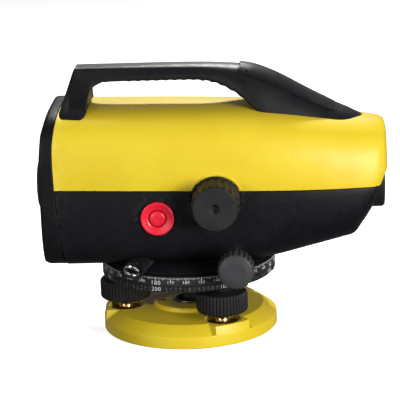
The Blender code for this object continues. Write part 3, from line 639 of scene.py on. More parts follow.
def casing_arc(station, sign, offset, first, rim):
    """One arc of the casing's skin; rim rounds the edge along the parting line."""
    x, half_width, height, squareness = station
    spots = power_arc(half_width - offset, height - offset, squareness)
    half = spots[-1][0]
    if rim:
        lip = [(half, RIM), (half - RIM_CHAMFER, RIM_CHAMFER), (half - RIM, 0)]
        spots = [(-y, rise) for y, rise in reversed(lip)] + spots[1:-1] + lip
    else:
        spots = [(-half, 0)] * 2 + spots + [(half, 0)] * 2
    arc = []
    for y, rise in spots:
        z = parting_z(x) + sign * rise
        place = x
        if first:
            place = joint_x(z)
        elif sign > 0 and x > HOOD_START and z < HOOD_Z:
            place = x - HOOD_SLOPE * (HOOD_Z - z) * (x - HOOD_START) / (COVER_REAR - HOOD_START)
        arc.append(Vector((place, y, z)))
    return arc


def ruled_end(start, count):
    """Level strips across an arc's end, which lean back with the hood."""
    strips = []
    for j in range((count - 1) // 2):
        numbers = (start + j, start + j + 1, start + count - 2 - j, start + count - 1 - j)
        strips.append(tuple(dict.fromkeys(numbers)))
    return strips


def casing_half(name, stations, sign, material):
    """A half shell with fine skins: outer, inner, and the rim between them."""
    fine = smooth_stations(stations, steps_between([station[0] for station in stations], 5))
    last = len(fine) - 1
    outer = []
    inner = []
    for i, station in enumerate(fine):
        outer += casing_arc(station, sign, 0, i == 0, True)
        inner_x = min(station[0], fine[last][0] - WALL - 0.05 * (last - i))
        inner += casing_arc((inner_x, *station[1:]), sign, WALL, i == 0, False)
    count = len(outer) // len(fine)
    shift = len(outer)
    faces = []
    for i in range(last):
        for j in range(count - 1):
            a = i * count + j
            faces.append((a, a + 1, a + count + 1, a + count))
            faces.append((shift + a, shift + a + count, shift + a + count + 1, shift + a + 1))
        for a in (i * count, i * count + count - 1):
            faces.append((a, a + count, shift + a + count, shift + a))
    faces += [(j, shift + j, shift + j + 1, j + 1) for j in range(count - 1)]
    end = last * count
    faces += ruled_end(end, count) + ruled_end(shift + end, count)
    faces.append((end, end + count - 1, shift + end + count - 1, shift + end))
    return add_mesh(name, outer + inner, faces, material, weld=True)


def flared_cutter(radius, surface, flare, at, axis, segments=96):
    """A round cutter that widens near the surface, so that it leaves a rounded lip."""
    reach = 12
    profile = [(0, surface - reach), (radius, surface - reach), (radius, surface - flare)]
    for step in range(1, 6):
        turn = radians(90 * step / 5)
        profile.append((radius + flare * (1 - cos(turn)), surface - flare + flare * sin(turn)))
    profile += [(radius + flare, surface + reach), (0, surface + reach)]
    return turned("cutter", profile, None, at, axis, segments, corner=0.0001, steps=1)


def make_lower_housing():
    housing = casing_half("lower_housing_shell", HOUSING_STATIONS, -1, HOUSING_BLACK)
    combine(housing, flared_cutter(CUT_OUT_RADIUS, 41, 0.5, FOCUS_AT, NEAR),
        flared_cutter(BUTTON_HOLE_RADIUS, 41.6, 0.35, BUTTON_AT, NEAR),
        flared_cutter(SHAFT_HOLE_RADIUS, 37.4, 0.8, DRIVE_AT, NEAR, 32),
        flared_cutter(SHAFT_HOLE_RADIUS, 37.4, 0.8, DRIVE_AT, FAR, 32),
        flared_cutter(EYEPIECE_RADIUS + 0.5, 116, 0.5, OPTICAL_AT, ALONG))
    stands_for(housing, "lower_housing")
    low = corners("lower_housing")[0].z
    goes_with(turned("housing_skirt", ((16.6, low), (50.2, low), (50.4, low + 0.7), (43, low + 3.7),
        (39, low + 4.3), (16.6, low + 3.3)), HOUSING_BLACK, segments=144), "lower_housing")


def cover_side_y(x, z):
    """Distance of the cover's side from the middle plane at x and z."""
    _, half_width, height, squareness = smooth_stations(COVER_STATIONS, (x,))[0]
    rise = min(1, max(0, (z - COVER_LIFT - parting_z(x)) / height))
    return half_width * (1 - rise ** squareness) ** (1 / squareness)


def cut_out_bead():
    """A bead round the knob's cut-out, on the cover's side above the parting line."""
    radius = CUT_OUT_RADIUS + 1
    thick = 0.75
    start = asin((parting_z(FOCUS_AT[0]) + 1.1 - FOCUS_AT[2]) / radius)
    rings = []
    for step in range(61):
        angle = start + (pi - 2 * start) * step / 60
        outward = Vector((cos(angle), 0, sin(angle)))
        spot = Vector(FOCUS_AT) + outward * radius
        spot.y = 0.1 - cover_side_y(spot.x, spot.z)
        rings.append([spot + outward * (thick * cos(turn)) + Vector((0, thick * sin(turn), 0))
            for turn in around(12)])
    return loft("cut_out_bead", rings, YELLOW)


def make_top_cover():
    cover = casing_half("top_cover_shell", COVER_STATIONS, 1, YELLOW)
    cover.data.transform(Matrix.Translation((0, 0, COVER_LIFT * MM)))
    combine(cover, flared_cutter(CUT_OUT_RADIUS, 41.3, 0.4, FOCUS_AT, NEAR),
        flared_cutter(EYEPIECE_RADIUS + 0.8, 115.6, 0.9, OPTICAL_AT, ALONG))
    stands_for(cover, "top_cover")
    goes_with(cut_out_bead(), "top_cover")


# ---- bezel and objective

BEZEL_LOW, BEZEL_HIGH = corners("front_bezel")
BEZEL_SEGMENTS = 160
BEZEL_FACE_X = -84.4


def bezel_ring(scale, x_of):
    """The bezel's outline, scaled about its middle, with x found from z."""
    mid_z = (BEZEL_HIGH.z + BEZEL_LOW.z) / 2
    half_height = (BEZEL_HIGH.z - BEZEL_LOW.z) / 2
    ring = []
    for turn in around(BEZEL_SEGMENTS):
        across, rise = (copysign(abs(value) ** 0.5, value) for value in (cos(turn), sin(turn)))
        z = mid_z + scale * half_height * rise
        ring.append(Vector((x_of(z), scale * BEZEL_HIGH.y * across, z)))
    return ring


def bore_ring(radius, x):
    return [Vector((x, radius * cos(turn), OPTICAL_Z + radius * sin(turn)))
        for turn in around(BEZEL_SEGMENTS)]


def bezel_edge_x(z):
    """X of the bezel's front edge, which leans back above and tucks in below."""
    lean = min(max(0, z - 108), 18.3)
    steep = max(0, z - 126.3)
    tuck = max(0, 50 - z)
    return -82.9 + 0.09 * lean + 0.27 * steep + 0.4 * tuck


def make_front_bezel():
    bore = corners("objective_cell")[1].z - OPTICAL_Z + 0.3
    frame_depth = 12
    lip = 1.6
    # Scale of the outline, and how far behind the front edge the ring stands
    side = rounded(((0.992, frame_depth), (1, 11.4), (1, lip), (0.985, 0), (0.88, -0.5)), 0.9, 4)
    rings = []
    for scale, depth in side:
        behind = max(0, depth - lip) / (frame_depth - lip)

        def place(z, depth=depth, behind=behind):
            front = bezel_edge_x(z)
            return front + min(depth, lip) + behind * (joint_x(z) - 0.3 - front - lip)

        rings.append(bezel_ring(scale, place))
    # Radius, and how far behind the face
    for radius, depth in ((30, 0), (bore + 3.2, 0), (bore + 2.6, 0.5), (bore + 0.9, 0.6), (bore, 1.2),
            (bore, 7.4)):
        rings.append(bore_ring(radius, BEZEL_FACE_X + depth))
    rings.append(bezel_ring(0.93, lambda z: joint_x(z) - 1))
    stands_for(loft("front_bezel_frame", rings, HOUSING_BLACK, closed=True), "front_bezel")


def optic(node, name, profile, material, segments=96, corner=0.4):
    """A turned piece on the optical axis; heights in the profile are X positions."""
    stands_for(turned(name, profile, material, OPTICAL_AT, ALONG, segments, corner=corner), node)


def make_objective():
    rim = corners("objective_cell")[1].z - OPTICAL_Z
    optic("objective_cell", "objective_cell_ring", ((11.8, -86.6), (12.4, -87.9), (13.6, -88),
        (14.4, -87.2), (15.2, -85.4), (19.4, -84.9), (19.6, -84.2), (20.4, -84.2), (20.6, -84.8),
        (rim, -84.6), (rim, -73), (17.2, -73), (17.2, -83.4), (11.8, -84)), ANODISED, 128, 0.3)
    optic("objective_lens", "objective_glass", ((0, -82.9), (5, -82.7), (9, -82.2), (13, -81.2),
        (16.8, -79.8), (16.8, -76.6), (9, -75.4), (0, -75)), LENS, corner=0.8)
    baffles = ((13.6, -72.4), (16.9, -72.4), (16.9, -60), (15.6, -60), (16.4, -61.4), (15, -64),
        (16.2, -65.4), (14.6, -68), (16, -69.4))
    goes_with(turned("objective_baffles", baffles, ANODISED, OPTICAL_AT, ALONG, corner=0.1),
        "telescope_tube")


# ---- eyepiece

def make_eyepiece():
    low, high = (corner.x for corner in corners("eyepiece_ring"))
    radius = EYEPIECE_RADIUS
    inner_end = 112.9
    optic("eyepiece_ring", "eyepiece_grip", ((16.4, low), (radius - 0.3, low), (radius, low + 0.5),
        (radius, high - 1.4), (radius - 1.2, high), (14.2, high), (13.4, high - 1.2), (12.6, high - 1.4),
        (12.6, inner_end), (16.4, inner_end)), EYE_RUBBER, 144, 0.5)
    low, high = (corner.x for corner in corners("eyepiece_barrel"))
    optic("eyepiece_barrel", "eyepiece_tube", ((9.3, low), (12.2, low), (12.2, high), (11.4, high),
        (9.3, high - 1.6)), ANODISED)
    low, high = (corner.x for corner in corners("eyepiece_lens"))
    optic("eyepiece_lens", "eyepiece_glass", ((0, low), (4.5, low + 0.4), (9, low + 1.6), (9, high - 1.6),
        (4.5, high - 0.4), (0, high)), LENS, 72, 0.6)
    low, high = (corner.x for corner in corners("eyepiece_mount"))
    optic("eyepiece_mount", "eyepiece_holder", ((13.2, low), (16, low), (16, high), (13.2, high)),
        ANODISED)


# ---- knobs and button

KNOB_FLUTES = 20


def round_size(node):
    """Back, front and radius of a round CAD node on the near side."""
    low, high = corners(node)
    return -high.y, -low.y, (high.z - low.z) / 2


def make_focus_knob():
    back, front, radius = round_size("focus_knob")
    face = radius - 1.3
    knob = turned("focus_knob_body", ((2.7, back), (13.2, back), (radius, back + 0.8, 1),
        (radius - 0.2, front - 1.7, 1), (radius - 0.8, front - 1, 0.5), (face, front - 0.9),
        (face, front - 1.4), (2.7, front - 1.4)), KNOB_BLACK, FOCUS_AT, NEAR, KNOB_FLUTES * 20,
        flute(KNOB_FLUTES, 1.1))
    stands_for(knob, "focus_knob")
    goes_with(turned("focus_knob_face", ((2.9, front - 1.4), (radius - 1.4, front - 1.4),
        (radius - 1.4, front - 0.25), (radius - 1.7, front), (3, front), (2.4, front - 0.6)), FACE_GREY,
        FOCUS_AT, NEAR, corner=0.25), "focus_knob")
    goes_with(turned("focus_spindle_end", ((0, front - 3.6), (1.1, front - 3.6), (1.5, front - 2.4),
        (2.3, front - 1.6), (2.5, front - 1.6), (2.5, front - 5), (0, front - 5)), ANODISED, FOCUS_AT,
        NEAR, 48, corner=0.15), "focus_knob")
    back, front, _ = round_size("focus_bearing")
    flange = front - 4.5
    stands_for(turned("focus_collar", ((2.8, back), (5, back), (5, flange), (14.3, flange),
        (14.3, front - 0.6), (13.6, front), (2.8, front)), KNOB_BLACK, FOCUS_AT, NEAR), "focus_bearing")


def make_drive_knobs():
    for name, axis in (("right", NEAR), ("left", FAR)):
        node = f"drive_knob_{name}"
        low, high = corners(node)
        back = min(abs(low.y), abs(high.y))
        front = max(abs(low.y), abs(high.y))
        radius = (high.z - low.z) / 2 + 0.5
        socket = back + 8.4
        knob = turned(f"{node}_grip", ((0, socket), (2.7, socket), (2.7, back), (8.6, back),
            (radius, back + 0.9, 1), (radius - 0.1, front - 2.8, 1), (radius - 0.7, front - 1.7, 0.3),
            (radius - 1.5, front - 1.1), (6, front - 0.4), (0, front)), DRIVE_GREY, DRIVE_AT, axis, 320,
            ribs(KNOB_FLUTES, 0.9, 0.8), corner=0.7)
        stands_for(knob, node)
    low, high = (corner.y for corner in corners("worm_shaft"))
    shaft = ((0, low), (2.3, low), (2.3, -6.8), (3.2, -6.6), (3.2, 6.6), (2.3, 6.8), (2.3, high),
        (0, high))
    stands_for(turned("drive_shaft", shaft, STEEL, DRIVE_AT, FAR, 48, corner=0.2), "worm_shaft")
    goes_with(thread_ridge("drive_worm", 3.1, 3.9, 2.2, -6.2, 6.2, DRIVE_AT, FAR, STEEL), "worm_shaft")


def thread_ridge(name, root, crest, pitch, low, high, at, axis, material, steps=32):
    """A helical ridge of trapezium section, closed at both ends."""
    turn = Vector(axis).to_track_quat("Z", "Y").to_matrix()
    section = ((root, -0.38 * pitch), (crest, -0.12 * pitch), (crest, 0.12 * pitch),
        (root, 0.38 * pitch))
    rings = []
    for i in range(int((high - low) / pitch * steps) + 1):
        angle = 2 * pi * i / steps
        height = low + pitch * i / steps
        rings.append([Vector(at) + turn @ polar(radius, angle, height + rise) for radius, rise in section])
    return loft(name, rings, material)


def make_button():
    _, front, radius = round_size("button_bezel")
    cup = 27
    flange = 38.6
    dish = ((2, cup), (6.4, cup), (6.4, flange), (radius, flange), (radius, front - 0.5),
        (radius - 0.4, front - 0.1), (radius - 0.9, front), (7.4, front - 0.5), (5.8, front - 0.8),
        (5.2, front - 1.2), (5.2, cup + 1.2), (2, cup + 1.2))
    stands_for(turned("button_dish", dish, RED, BUTTON_AT, NEAR, corner=0.9, steps=5), "button_bezel")
    back, front, radius = round_size("push_button")
    cap = ((0, back), (1.6, back), (1.6, 37.4), (radius, 37.4), (radius, front - 1.1),
        (radius - 0.7, front - 0.3), (2.4, front - 0.05), (0, front))
    stands_for(turned("button_cap", cap, RED, BUTTON_AT, NEAR, corner=0.5, steps=4), "push_button")


# ---- base

FOOTSCREWS = {name: middle(f"footscrew_spindle_{name}") for name in ("front", "right", "left")}
BASE_HIGH = corners("base_plate")[1]
BASE_RADIUS = BASE_HIGH.x
DISC_TOP = BASE_HIGH.z
BASE_TOP = 12.6
BASE_TOP_RADIUS = 44.4
BASE_WALL_HEIGHT = 7
DISC_RADIUS = 22.2
PAD_RADIUS = 51.4
PAD_HALF_ANGLE = 12.6
PAD_FACET_ANGLE = 2.5
POCKET_RADIUS = 10.5
POCKET_FLOOR = 6.6
SCREW_HOLE_FLOOR = 8
BASE_SHARP = 24


def on_floor(spot):
    return (spot.x, spot.y, 0)


def blind_cutter(radius, surface, flare, spot, floor, segments=96):
    """A flared cutter from above that stops at the height floor."""
    cutter = flared_cutter(radius, surface, flare, on_floor(spot), UP, segments)
    for vert in cutter.data.vertices:
        vert.co.z = max(vert.co.z, floor * MM)
    return cutter


def make_base_plate():
    centres = [degrees(atan2(spot.y, spot.x)) for spot in FOOTSCREWS.values()]
    angles = set(range(360))
    facet_end = PAD_HALF_ANGLE + PAD_FACET_ANGLE
    for centre in centres:
        for turn in (PAD_HALF_ANGLE - 0.25, PAD_HALF_ANGLE, PAD_HALF_ANGLE + 0.12, facet_end,
                facet_end + 0.3):
            angles |= {round((centre + side * turn) % 360, 4) for side in (-1, 1)}
    bore = corners("tripod_bush")[1].x + 0.3
    rings = []
    for angle in sorted(angles):
        off = min(abs((angle - centre + 180) % 360 - 180) for centre in centres)
        share = min(1, max(0, (off - PAD_HALF_ANGLE) / PAD_FACET_ANGLE))
        edge = PAD_RADIUS + (BASE_TOP_RADIUS - PAD_RADIUS) * share
        line = [(bore, 0), (BASE_RADIUS - 0.5, 0), (BASE_RADIUS, 0.5), (BASE_RADIUS, BASE_WALL_HEIGHT),
            (edge, BASE_TOP), (DISC_RADIUS + 0.5, BASE_TOP), (DISC_RADIUS - 0.1, BASE_TOP + 0.4),
            (DISC_RADIUS - 0.6, DISC_TOP), (bore, DISC_TOP)]
        rings.append([polar(radius, radians(angle), z) for radius, z in rounded(line, 0.45, 3, True)])
    plate = loft("base_casting", rings, YELLOW, closed=True, sharp=BASE_SHARP)
    cutters = [blind_cutter(POCKET_RADIUS, BASE_TOP, 0.4, spot, POCKET_FLOOR)
        for spot in FOOTSCREWS.values()]
    cutters += [blind_cutter(2.7, DISC_TOP, 0.35, middle(f"disc_screw_{side}"), SCREW_HOLE_FLOOR, 48)
        for side in ("left", "right")]
    combine(plate, *cutters, sharp=BASE_SHARP)
    stands_for(plate, "base_plate")


def make_base_fittings():
    low, high = corners("tripod_bush")
    inner = 7.4
    rim = high.x - 0.5
    top = high.z
    body = ((inner, low.z), (high.x, low.z), (high.x, top - 0.7), (high.x - 0.7, top), (8.3, top),
        (inner, top - 0.9))
    stands_for(turned("tripod_bush_body", body, ANODISED, corner=0.25), "tripod_bush")
    lip = ((inner + 0.9, top - 0.3), (rim, top - 0.3), (rim, top - 0.04), (rim - 0.4, top),
        (inner + 1.2, top))
    goes_with(turned("tripod_bush_lip", lip, STEEL, corner=0.1), "tripod_bush")
    goes_with(thread_ridge("tripod_thread", inner + 0.1, inner - 0.55, 2.3, low.z + 1.2, top - 2,
        (0, 0, 0), UP, ANODISED, 48), "tripod_bush")
    for side, slot_angle in (("left", 35), ("right", -20)):
        node = f"disc_screw_{side}"
        low, high = corners(node)
        spot = middle(node)
        radius = (high.x - low.x) / 2
        head = ((0, low.z), (1.5, low.z), (1.5, 12.6), (radius, 14), (radius, high.z - 0.4),
            (radius - 0.4, high.z - 0.05), (0, high.z))
        screw = turned(f"{node}_head", head, BRASS, on_floor(spot), segments=48, corner=0.2)
        slot = block("cutter", (-3, -0.4, high.z - 0.9), (3, 0.4, high.z + 1), BRASS, 0)
        slot.data.transform(Matrix.Translation(Vector(on_floor(spot)) * MM)
            @ Matrix.Rotation(radians(slot_angle), 4, "Z"))
        combine(screw, slot)
        stands_for(screw, node)
    for name, spot in FOOTSCREWS.items():
        low, high = (corner.z for corner in corners(f"foot_seat_{name}"))
        cup = ((3.4, low), (10.1, low), (10.1, high - 0.8), (9.2, high), (7.2, high - 0.3),
            (5.4, high - 0.8))
        # The cups take the brass that is darkened as painted shade for the pockets.
        stands_for(turned(f"foot_cup_{name}", cup, SHADED_SEAT_BRASS, on_floor(spot), corner=0.3),
            f"foot_seat_{name}")


def make_footscrews():
    bore = 3.3
    ball_radius = 4.5
    for name, spot in FOOTSCREWS.items():
        low, high = corners(f"footscrew_knob_{name}")
        radius = (high.y - low.y) / 2 + 0.1
        base = low.z
        top = high.z
        hub_top = min(top + 2.2, corners(f"thread_bush_{name}")[0].z - 1.5)
        grip = ((bore, base + 0.6), (7, base + 0.6), (7.6, base), (12.8, base, 0.3),
            (14.5, base + 0.6, 1), (radius, base + 1.8, 1), (radius, top - 2.6, 1),
            (radius - 0.5, top - 1.5, 1), (13.9, top - 1), (9.8, top - 0.8), (6.4, top - 0.2),
            (5.2, hub_top), (bore, hub_top))
        stands_for(turned(f"footscrew_grip_{name}", grip, KNOB_BLACK, on_floor(spot), segments=352,
            shape=ribs(44, 0.75, 0.8), corner=0.5), f"footscrew_knob_{name}")
        low, high = (corner.z for corner in corners(f"footscrew_spindle_{name}"))
        line = [(0, low)]
        for step in range(1, 13):
            turn = radians(-90 + 12 * step)
            line.append((ball_radius * cos(turn), low + ball_radius + ball_radius * sin(turn)))
        line += [(2.5, 16.4), (2.5, 17.8), (3, 18.4), (3, high - 0.8), (2.4, high), (0, high)]
        stands_for(turned(f"footscrew_stem_{name}", line, BRASS, on_floor(spot), segments=64, corner=0.3),
            f"footscrew_spindle_{name}")


def make_tribrach():
    low, high = corners("tribrach_plate")
    bore = 7.8
    radius = high.x
    recess = 39.4
    casting = ((bore, low.z), (14, low.z), (16, recess), (28, recess), (30, low.z), (radius - 1, low.z),
        (radius, low.z + 1), (radius, high.z), (bore, high.z))
    plate = turned("tribrach_casting", casting, ANODISED, segments=144)
    hole = ((0, 30), (6.3, 30), (6.3, 47), (0, 47))
    combine(plate, *(turned("cutter", hole, None, on_floor(spot), segments=64, corner=0.01)
        for spot in FOOTSCREWS.values()))
    stands_for(plate, "tribrach_plate")
    for name, spot in FOOTSCREWS.items():
        low, high = (corner.z for corner in corners(f"thread_bush_{name}"))
        inner = 4.4 if name == "front" else 3.3
        bush = ((6, low), (6, high), (inner, high), (inner, low + 0.4), (inner + 0.4, low))
        stands_for(turned(f"screw_bush_{name}", bush, BRASS, on_floor(spot), segments=64, corner=0.2),
            f"thread_bush_{name}")


# ---- horizontal circle

CIRCLE_LOW, CIRCLE_HIGH = corners("circle_ring")
CIRCLE_RADIUS = CIRCLE_HIGH.x - 0.1
CIRCLE_BORE = 47.2
GRIP_BAND = 3.6
GRIP_RADIUS = CIRCLE_HIGH.x - 0.7
NEAR_READING = 161
DEGREES_PER_GON = 0.9
FONT_SIZE_TO_DIGIT = 1.42
DIGIT_RISE = 0.05


def circle_angle(reading):
    """Angle about the standing axis, in degrees, where the circle shows a reading."""
    return -90 + NEAR_READING - reading


def wrapped(item, radius, angle, z):
    """Bend a flat piece round the circle: its x runs round, its y up and its z outwards."""
    for vert in item.data.vertices:
        turn = radians(angle) + vert.co.x / (radius * MM)
        vert.co = polar(radius * MM + vert.co.z, turn, z * MM + vert.co.y)
    return item


def numeral(text, height, radius, angle, z):
    """Digits of the given height, which stand out of the ring by DIGIT_RISE."""
    curve = bpy.data.curves.new("digits", "FONT")
    curve.body = text
    curve.size = height * FONT_SIZE_TO_DIGIT * MM
    curve.extrude = DIGIT_RISE * MM
    curve.align_x = "CENTER"
    curve.align_y = "CENTER"
    curve.resolution_u = 3
    curve.space_character = 1.15
    outline = new_object("digits", curve)
    mesh = evaluated_mesh(outline)
    bpy.data.objects.remove(outline, do_unlink=True)
    mesh.materials.clear()
    mesh.materials.append(WHITE)
    return wrapped(new_object("digits", mesh), radius, angle, z)


def make_circle():
    low = CIRCLE_LOW.z
    high = CIRCLE_HIGH.z
    band = low + GRIP_BAND
    ring = ((CIRCLE_BORE, low), (GRIP_RADIUS - 0.6, low), (GRIP_RADIUS, low + 0.5), (GRIP_RADIUS, band),
        (CIRCLE_RADIUS, band + 0.5), (CIRCLE_RADIUS, high - 0.5), (CIRCLE_RADIUS - 0.5, high),
        (CIRCLE_BORE, high))
    stands_for(turned("circle_band", ring, ANODISED, segments=360, corner=0.25), "circle_ring")
    marks = []
    for reading in range(360):
        length = 1.6 if reading % 10 == 0 else (1.3 if reading % 5 == 0 else 0.8)
        half = 0.11 if reading % 5 else 0.15
        mark = block("mark", (-half, -length, -0.05), (half, 0, 0.05), WHITE, 0)
        marks.append(wrapped(mark, CIRCLE_RADIUS, circle_angle(reading), high - 0.5))
    for reading in range(0, 360, 10):
        height, drop = (2.6, 3.8) if reading % 90 == 0 else (1.8, 3.2)
        marks.append(numeral(str(reading), height, CIRCLE_RADIUS, circle_angle(reading), high - drop))
    goes_with(joined("circle_graduation", marks), "circle_ring")
    lower = {value: circle_angle(value * DEGREES_PER_GON) for value in range(0, 400, 50)}
    row = [numeral(str(value), 2.5 if value % 100 == 0 else 1.8, GRIP_RADIUS, angle, low + 2) for value,
        angle in lower.items()]
    goes_with(joined("circle_gon_row", row), "circle_ring")
    grips = []
    for angle in range(0, 360, 3):
        if min(abs((angle - other + 180) % 360 - 180) for other in lower.values()) < 5:
            continue
        grip = block("grip", (-0.75, 0, -0.3), (0.75, GRIP_BAND - 0.6, 0.6), ANODISED, 0.25)
        grips.append(wrapped(grip, GRIP_RADIUS, angle, low + 0.5))
    goes_with(joined("circle_grip_ridges", grips), "circle_ring")


# ---- window over the circle

LOUPE_NORMAL = Vector((0.30, -0.17, 0.94)).normalized()
LOUPE_ROOT = Vector((-26, -39, 50))


def make_loupe():
    centre = middle("loupe_ring") - LOUPE_NORMAL * 0.2
    turn = LOUPE_NORMAL.to_track_quat("Z", "Y").to_matrix()
    form = bmesh.new()
    for angle in around(64):
        for depth, radius in ((0.1, 6), (-0.2, 6.35), (-0.7, 6.5), (-1.4, 6.5)):
            form.verts.new((centre + turn @ polar(radius, angle, depth)) * MM)
        form.verts.new((LOUPE_ROOT + Vector((8 * cos(angle), 0, 2.4 * sin(angle)))) * MM)
    bmesh.ops.convex_hull(form, input=form.verts)
    loose = [vert for vert in form.verts if not vert.link_faces]
    bmesh.ops.delete(form, geom=loose, context="VERTS")
    boss = object_from("loupe_boss", form, HOUSING_BLACK)
    well = ((0, -1.6), (5.8, -1.6), (5.8, 5), (0, 5))
    combine(boss, turned("cutter", well, None, centre, LOUPE_NORMAL, 96, corner=0.01), sharp=35)
    stands_for(boss, "loupe_housing")
    rim = ((4.5, -1.4), (5.7, -1.4), (5.7, 0.3), (5.3, 0.8), (4.8, 0.8), (4.5, 0.3))
    stands_for(turned("loupe_rim", rim, CHROME, centre, LOUPE_NORMAL, corner=0.25), "loupe_ring")
    glass = ((0, -1.4), (4.45, -1.4), (4.45, -0.2), (3, 0.1), (0, 0.35))
    stands_for(turned("loupe_glass", glass, WINDOW, centre, LOUPE_NORMAL, 72, corner=0.5), "loupe_lens")


# ---- circular level

def make_circular_level():
    centre = middle("level_vial")
    at = on_floor(centre)
    low, high = corners("level_case")
    floor = low.z
    top = high.z
    cup = ((0, floor), (8, floor), (9, floor + 1), (9, top - 0.8), (8.4, top), (7.4, top),
        (7.3, floor + 2.6), (0, floor + 2.6))
    case = turned("level_cup", cup, ANODISED, at)
    arm = block("level_arm", (centre.x - 6.5, low.y + 0.2, floor + 0.8),
        (centre.x + 6.5, centre.y - 7.6, floor + 4), ANODISED, 0.6)
    combine(case, arm, operation="UNION")
    stands_for(case, "level_case")
    low, high = (corner.z for corner in corners("level_vial"))
    vial = ((0, low), (7, low), (7, high - 1), (5, high - 0.35), (2.5, high - 0.08), (0, high))
    stands_for(turned("level_glass", vial, LIQUID, at), "level_vial")
    mark = ((2.6, high - 0.02), (2.9, high - 0.04), (2.9, high + 0.02), (2.6, high + 0.04))
    goes_with(turned("level_mark", mark, RED, at, segments=72, corner=0.01), "level_vial")


# ---- handle

# x and z on the upper line, x and z on the lower line, half widths above and below
HANDLE_STATIONS = (
    (-73.4, 128, -54.4, 128, 33.6, 33.6),
    (-71.4, 136, -55, 136.5, 29.5, 29.5),
    (-68.4, 145, -54.4, 144, 18, 19),
    (-65.6, 153, -52, 148.6, 10, 12.5),
    (-62.9, 159.6, -46.8, 151.4, 7.5, 11),
    (-60, 160.1, -45, 151.5, 7.5, 10.9),
    (-40, 160.2, -38, 151.8, 7.5, 10.5),
    (-10, 160.4, -10, 152, 7.5, 10.5),
    (12, 160.2, 10, 151.8, 7.5, 10.5),
    (24, 159.7, 20, 150.2, 7.8, 11.5),
    (34, 158.9, 28, 146.8, 8.4, 13.5),
    (42, 157.4, 35.5, 142.2, 9.2, 16.5),
    (51, 154.2, 43, 134.8, 9.8, 19.2),
    (60, 150, 54, 128.6, 10, 19.8),
    (72, 143.2, 70, 125, 9.8, 19.4),
    (84, 137, 82, 122.4, 9.4, 18.8),
    (95, 132.1, 94, 120.8, 8.8, 17.4),
    (103, 128.3, 102.5, 120, 6.2, 12.4),
    (108.8, 125.2, 108, 120, 2.6, 5.6),
)
HANDLE_TOP = corners("handle")[1].z
# x, rise of the saddle above the handle's upper line
SADDLE_RISE = ((34.4, 1.35), (42, 1.5), (51, 1.4), (60, 1.2), (72, 1.1), (84, 0.9), (92, 0.1))
# Upper x, upper z of the seam under the saddle, from its front to its rear
SADDLE_SEAM = ((34.4, 155.6), (42, 153.6), (50, 150.2), (60, 145.6), (72, 139.4), (84, 134), (90, 131.9))
SEAM_GAP = 0.08
STEP_SLANT = 0.48
STEP_Z = 159
REGION_TOP = 172
REGION_HALF_WIDTH = 30
RING_SPACING = 0.7
GRIP_START = -36
GRIP_END = 40
GRIP_PITCH = 5.4
GRIP_FADE = 3
GRIP_CHANGE = 8
GRIP_HEIGHTS = (0.35, 0.65)
# Share of the way down the side, and share of the half width there
POST_SECTION = ((0, 0.84), (0.05, 0.95), (0.14, 1), (0.5, 1), (0.84, 1), (0.95, 0.94), (1, 0.78))
REAR_SECTION = ((0, 0.34), (0.03, 0.60), (0.12, 0.94), (0.3, 1.14), (0.56, 1.18), (0.88, 1.07), (1, 0.98))


def grip_rise(x):
    """How far the finger ribs stand out of the underside at x."""
    if not GRIP_START < x < GRIP_END:
        return 0
    fade = min(1, (x - GRIP_START) / GRIP_FADE, (GRIP_END - x) / GRIP_FADE)
    wave = 0.5 + 0.5 * cos(2 * pi * (x - GRIP_START) / GRIP_PITCH)
    return GRIP_HEIGHTS[x >= GRIP_CHANGE] * fade * wave ** 2


def between(table, x):
    """Straight-line reading of a table of (x, value)."""
    for (low, first), (high, second) in zip(table, table[1:]):
        if low <= x <= high:
            return first + (second - first) * (x - low) / (high - low)
    return 0


def handle_ring(station, lifted):
    _, top_x, top_z, low_x, low_z, top_half, low_half = station
    rise = between(SADDLE_RISE, top_x) if lifted else 0
    top = Vector((top_x, 0, min(top_z + rise, HANDLE_TOP)))
    low = Vector((low_x, 0, low_z))
    rib = grip_rise(low_x)
    roundness = min(1, max(0, (top_x + 50) / 90))
    near = []
    far = []
    for (share, square), (round_share, round_inset) in zip(POST_SECTION, REAR_SECTION):
        share += (round_share - share) * roundness
        inset = square + (round_inset - square) * roundness
        centre = top.lerp(low, share)
        width = (top_half + (low_half - top_half) * share) * inset
        if share > 0.97:
            centre.z -= rib
        near.append((centre.x, -width, centre.z))
        far.append((centre.x, width, centre.z))
    outline = near + far[::-1]
    return [Vector(spot) for spot in rounded(outline, 3, 3, True)]


def handle_body(name, lifted):
    """The whole handle as one smooth form, with or without the raised saddle."""
    numbered = [(float(i), *station) for i, station in enumerate(HANDLE_STATIONS)]
    places = []
    for i in range(len(numbered) - 1):
        start = Vector(HANDLE_STATIONS[i][:2])
        end = Vector(HANDLE_STATIONS[i + 1][:2])
        count = max(4, round((end - start).length / RING_SPACING))
        places += [i + step / count for step in range(count)]
    places.append(float(len(numbered) - 1))
    rings = []
    for station in smooth_stations(numbered, places):
        if lifted and station[1] < SADDLE_SEAM[0][0] - 3:
            continue
        rings.append(handle_ring(station, lifted))
    return loft(name, rings, RUBBER, sharp=40)


def saddle_region(lift):
    """All the space above the saddle's seam; its front leans like the step."""
    places = steps_between([spot[0] for spot in SADDLE_SEAM], 6)
    rings = []
    for i, (x, seam) in enumerate(smooth_stations(SADDLE_SEAM, places)):
        floor = seam + lift
        lean = STEP_SLANT if i == 0 else 0
        shift = lift if i == 0 else (-lift if i == len(places) - 1 else 0)
        low_x = x + shift + lean * (floor - STEP_Z)
        high_x = x + shift + lean * (REGION_TOP - STEP_Z)
        half = REGION_HALF_WIDTH
        rings.append([Vector((low_x, -half, floor)), Vector((low_x, half, floor)),
            Vector((high_x, half, REGION_TOP)), Vector((high_x, -half, REGION_TOP))])
    return loft("region", rings)


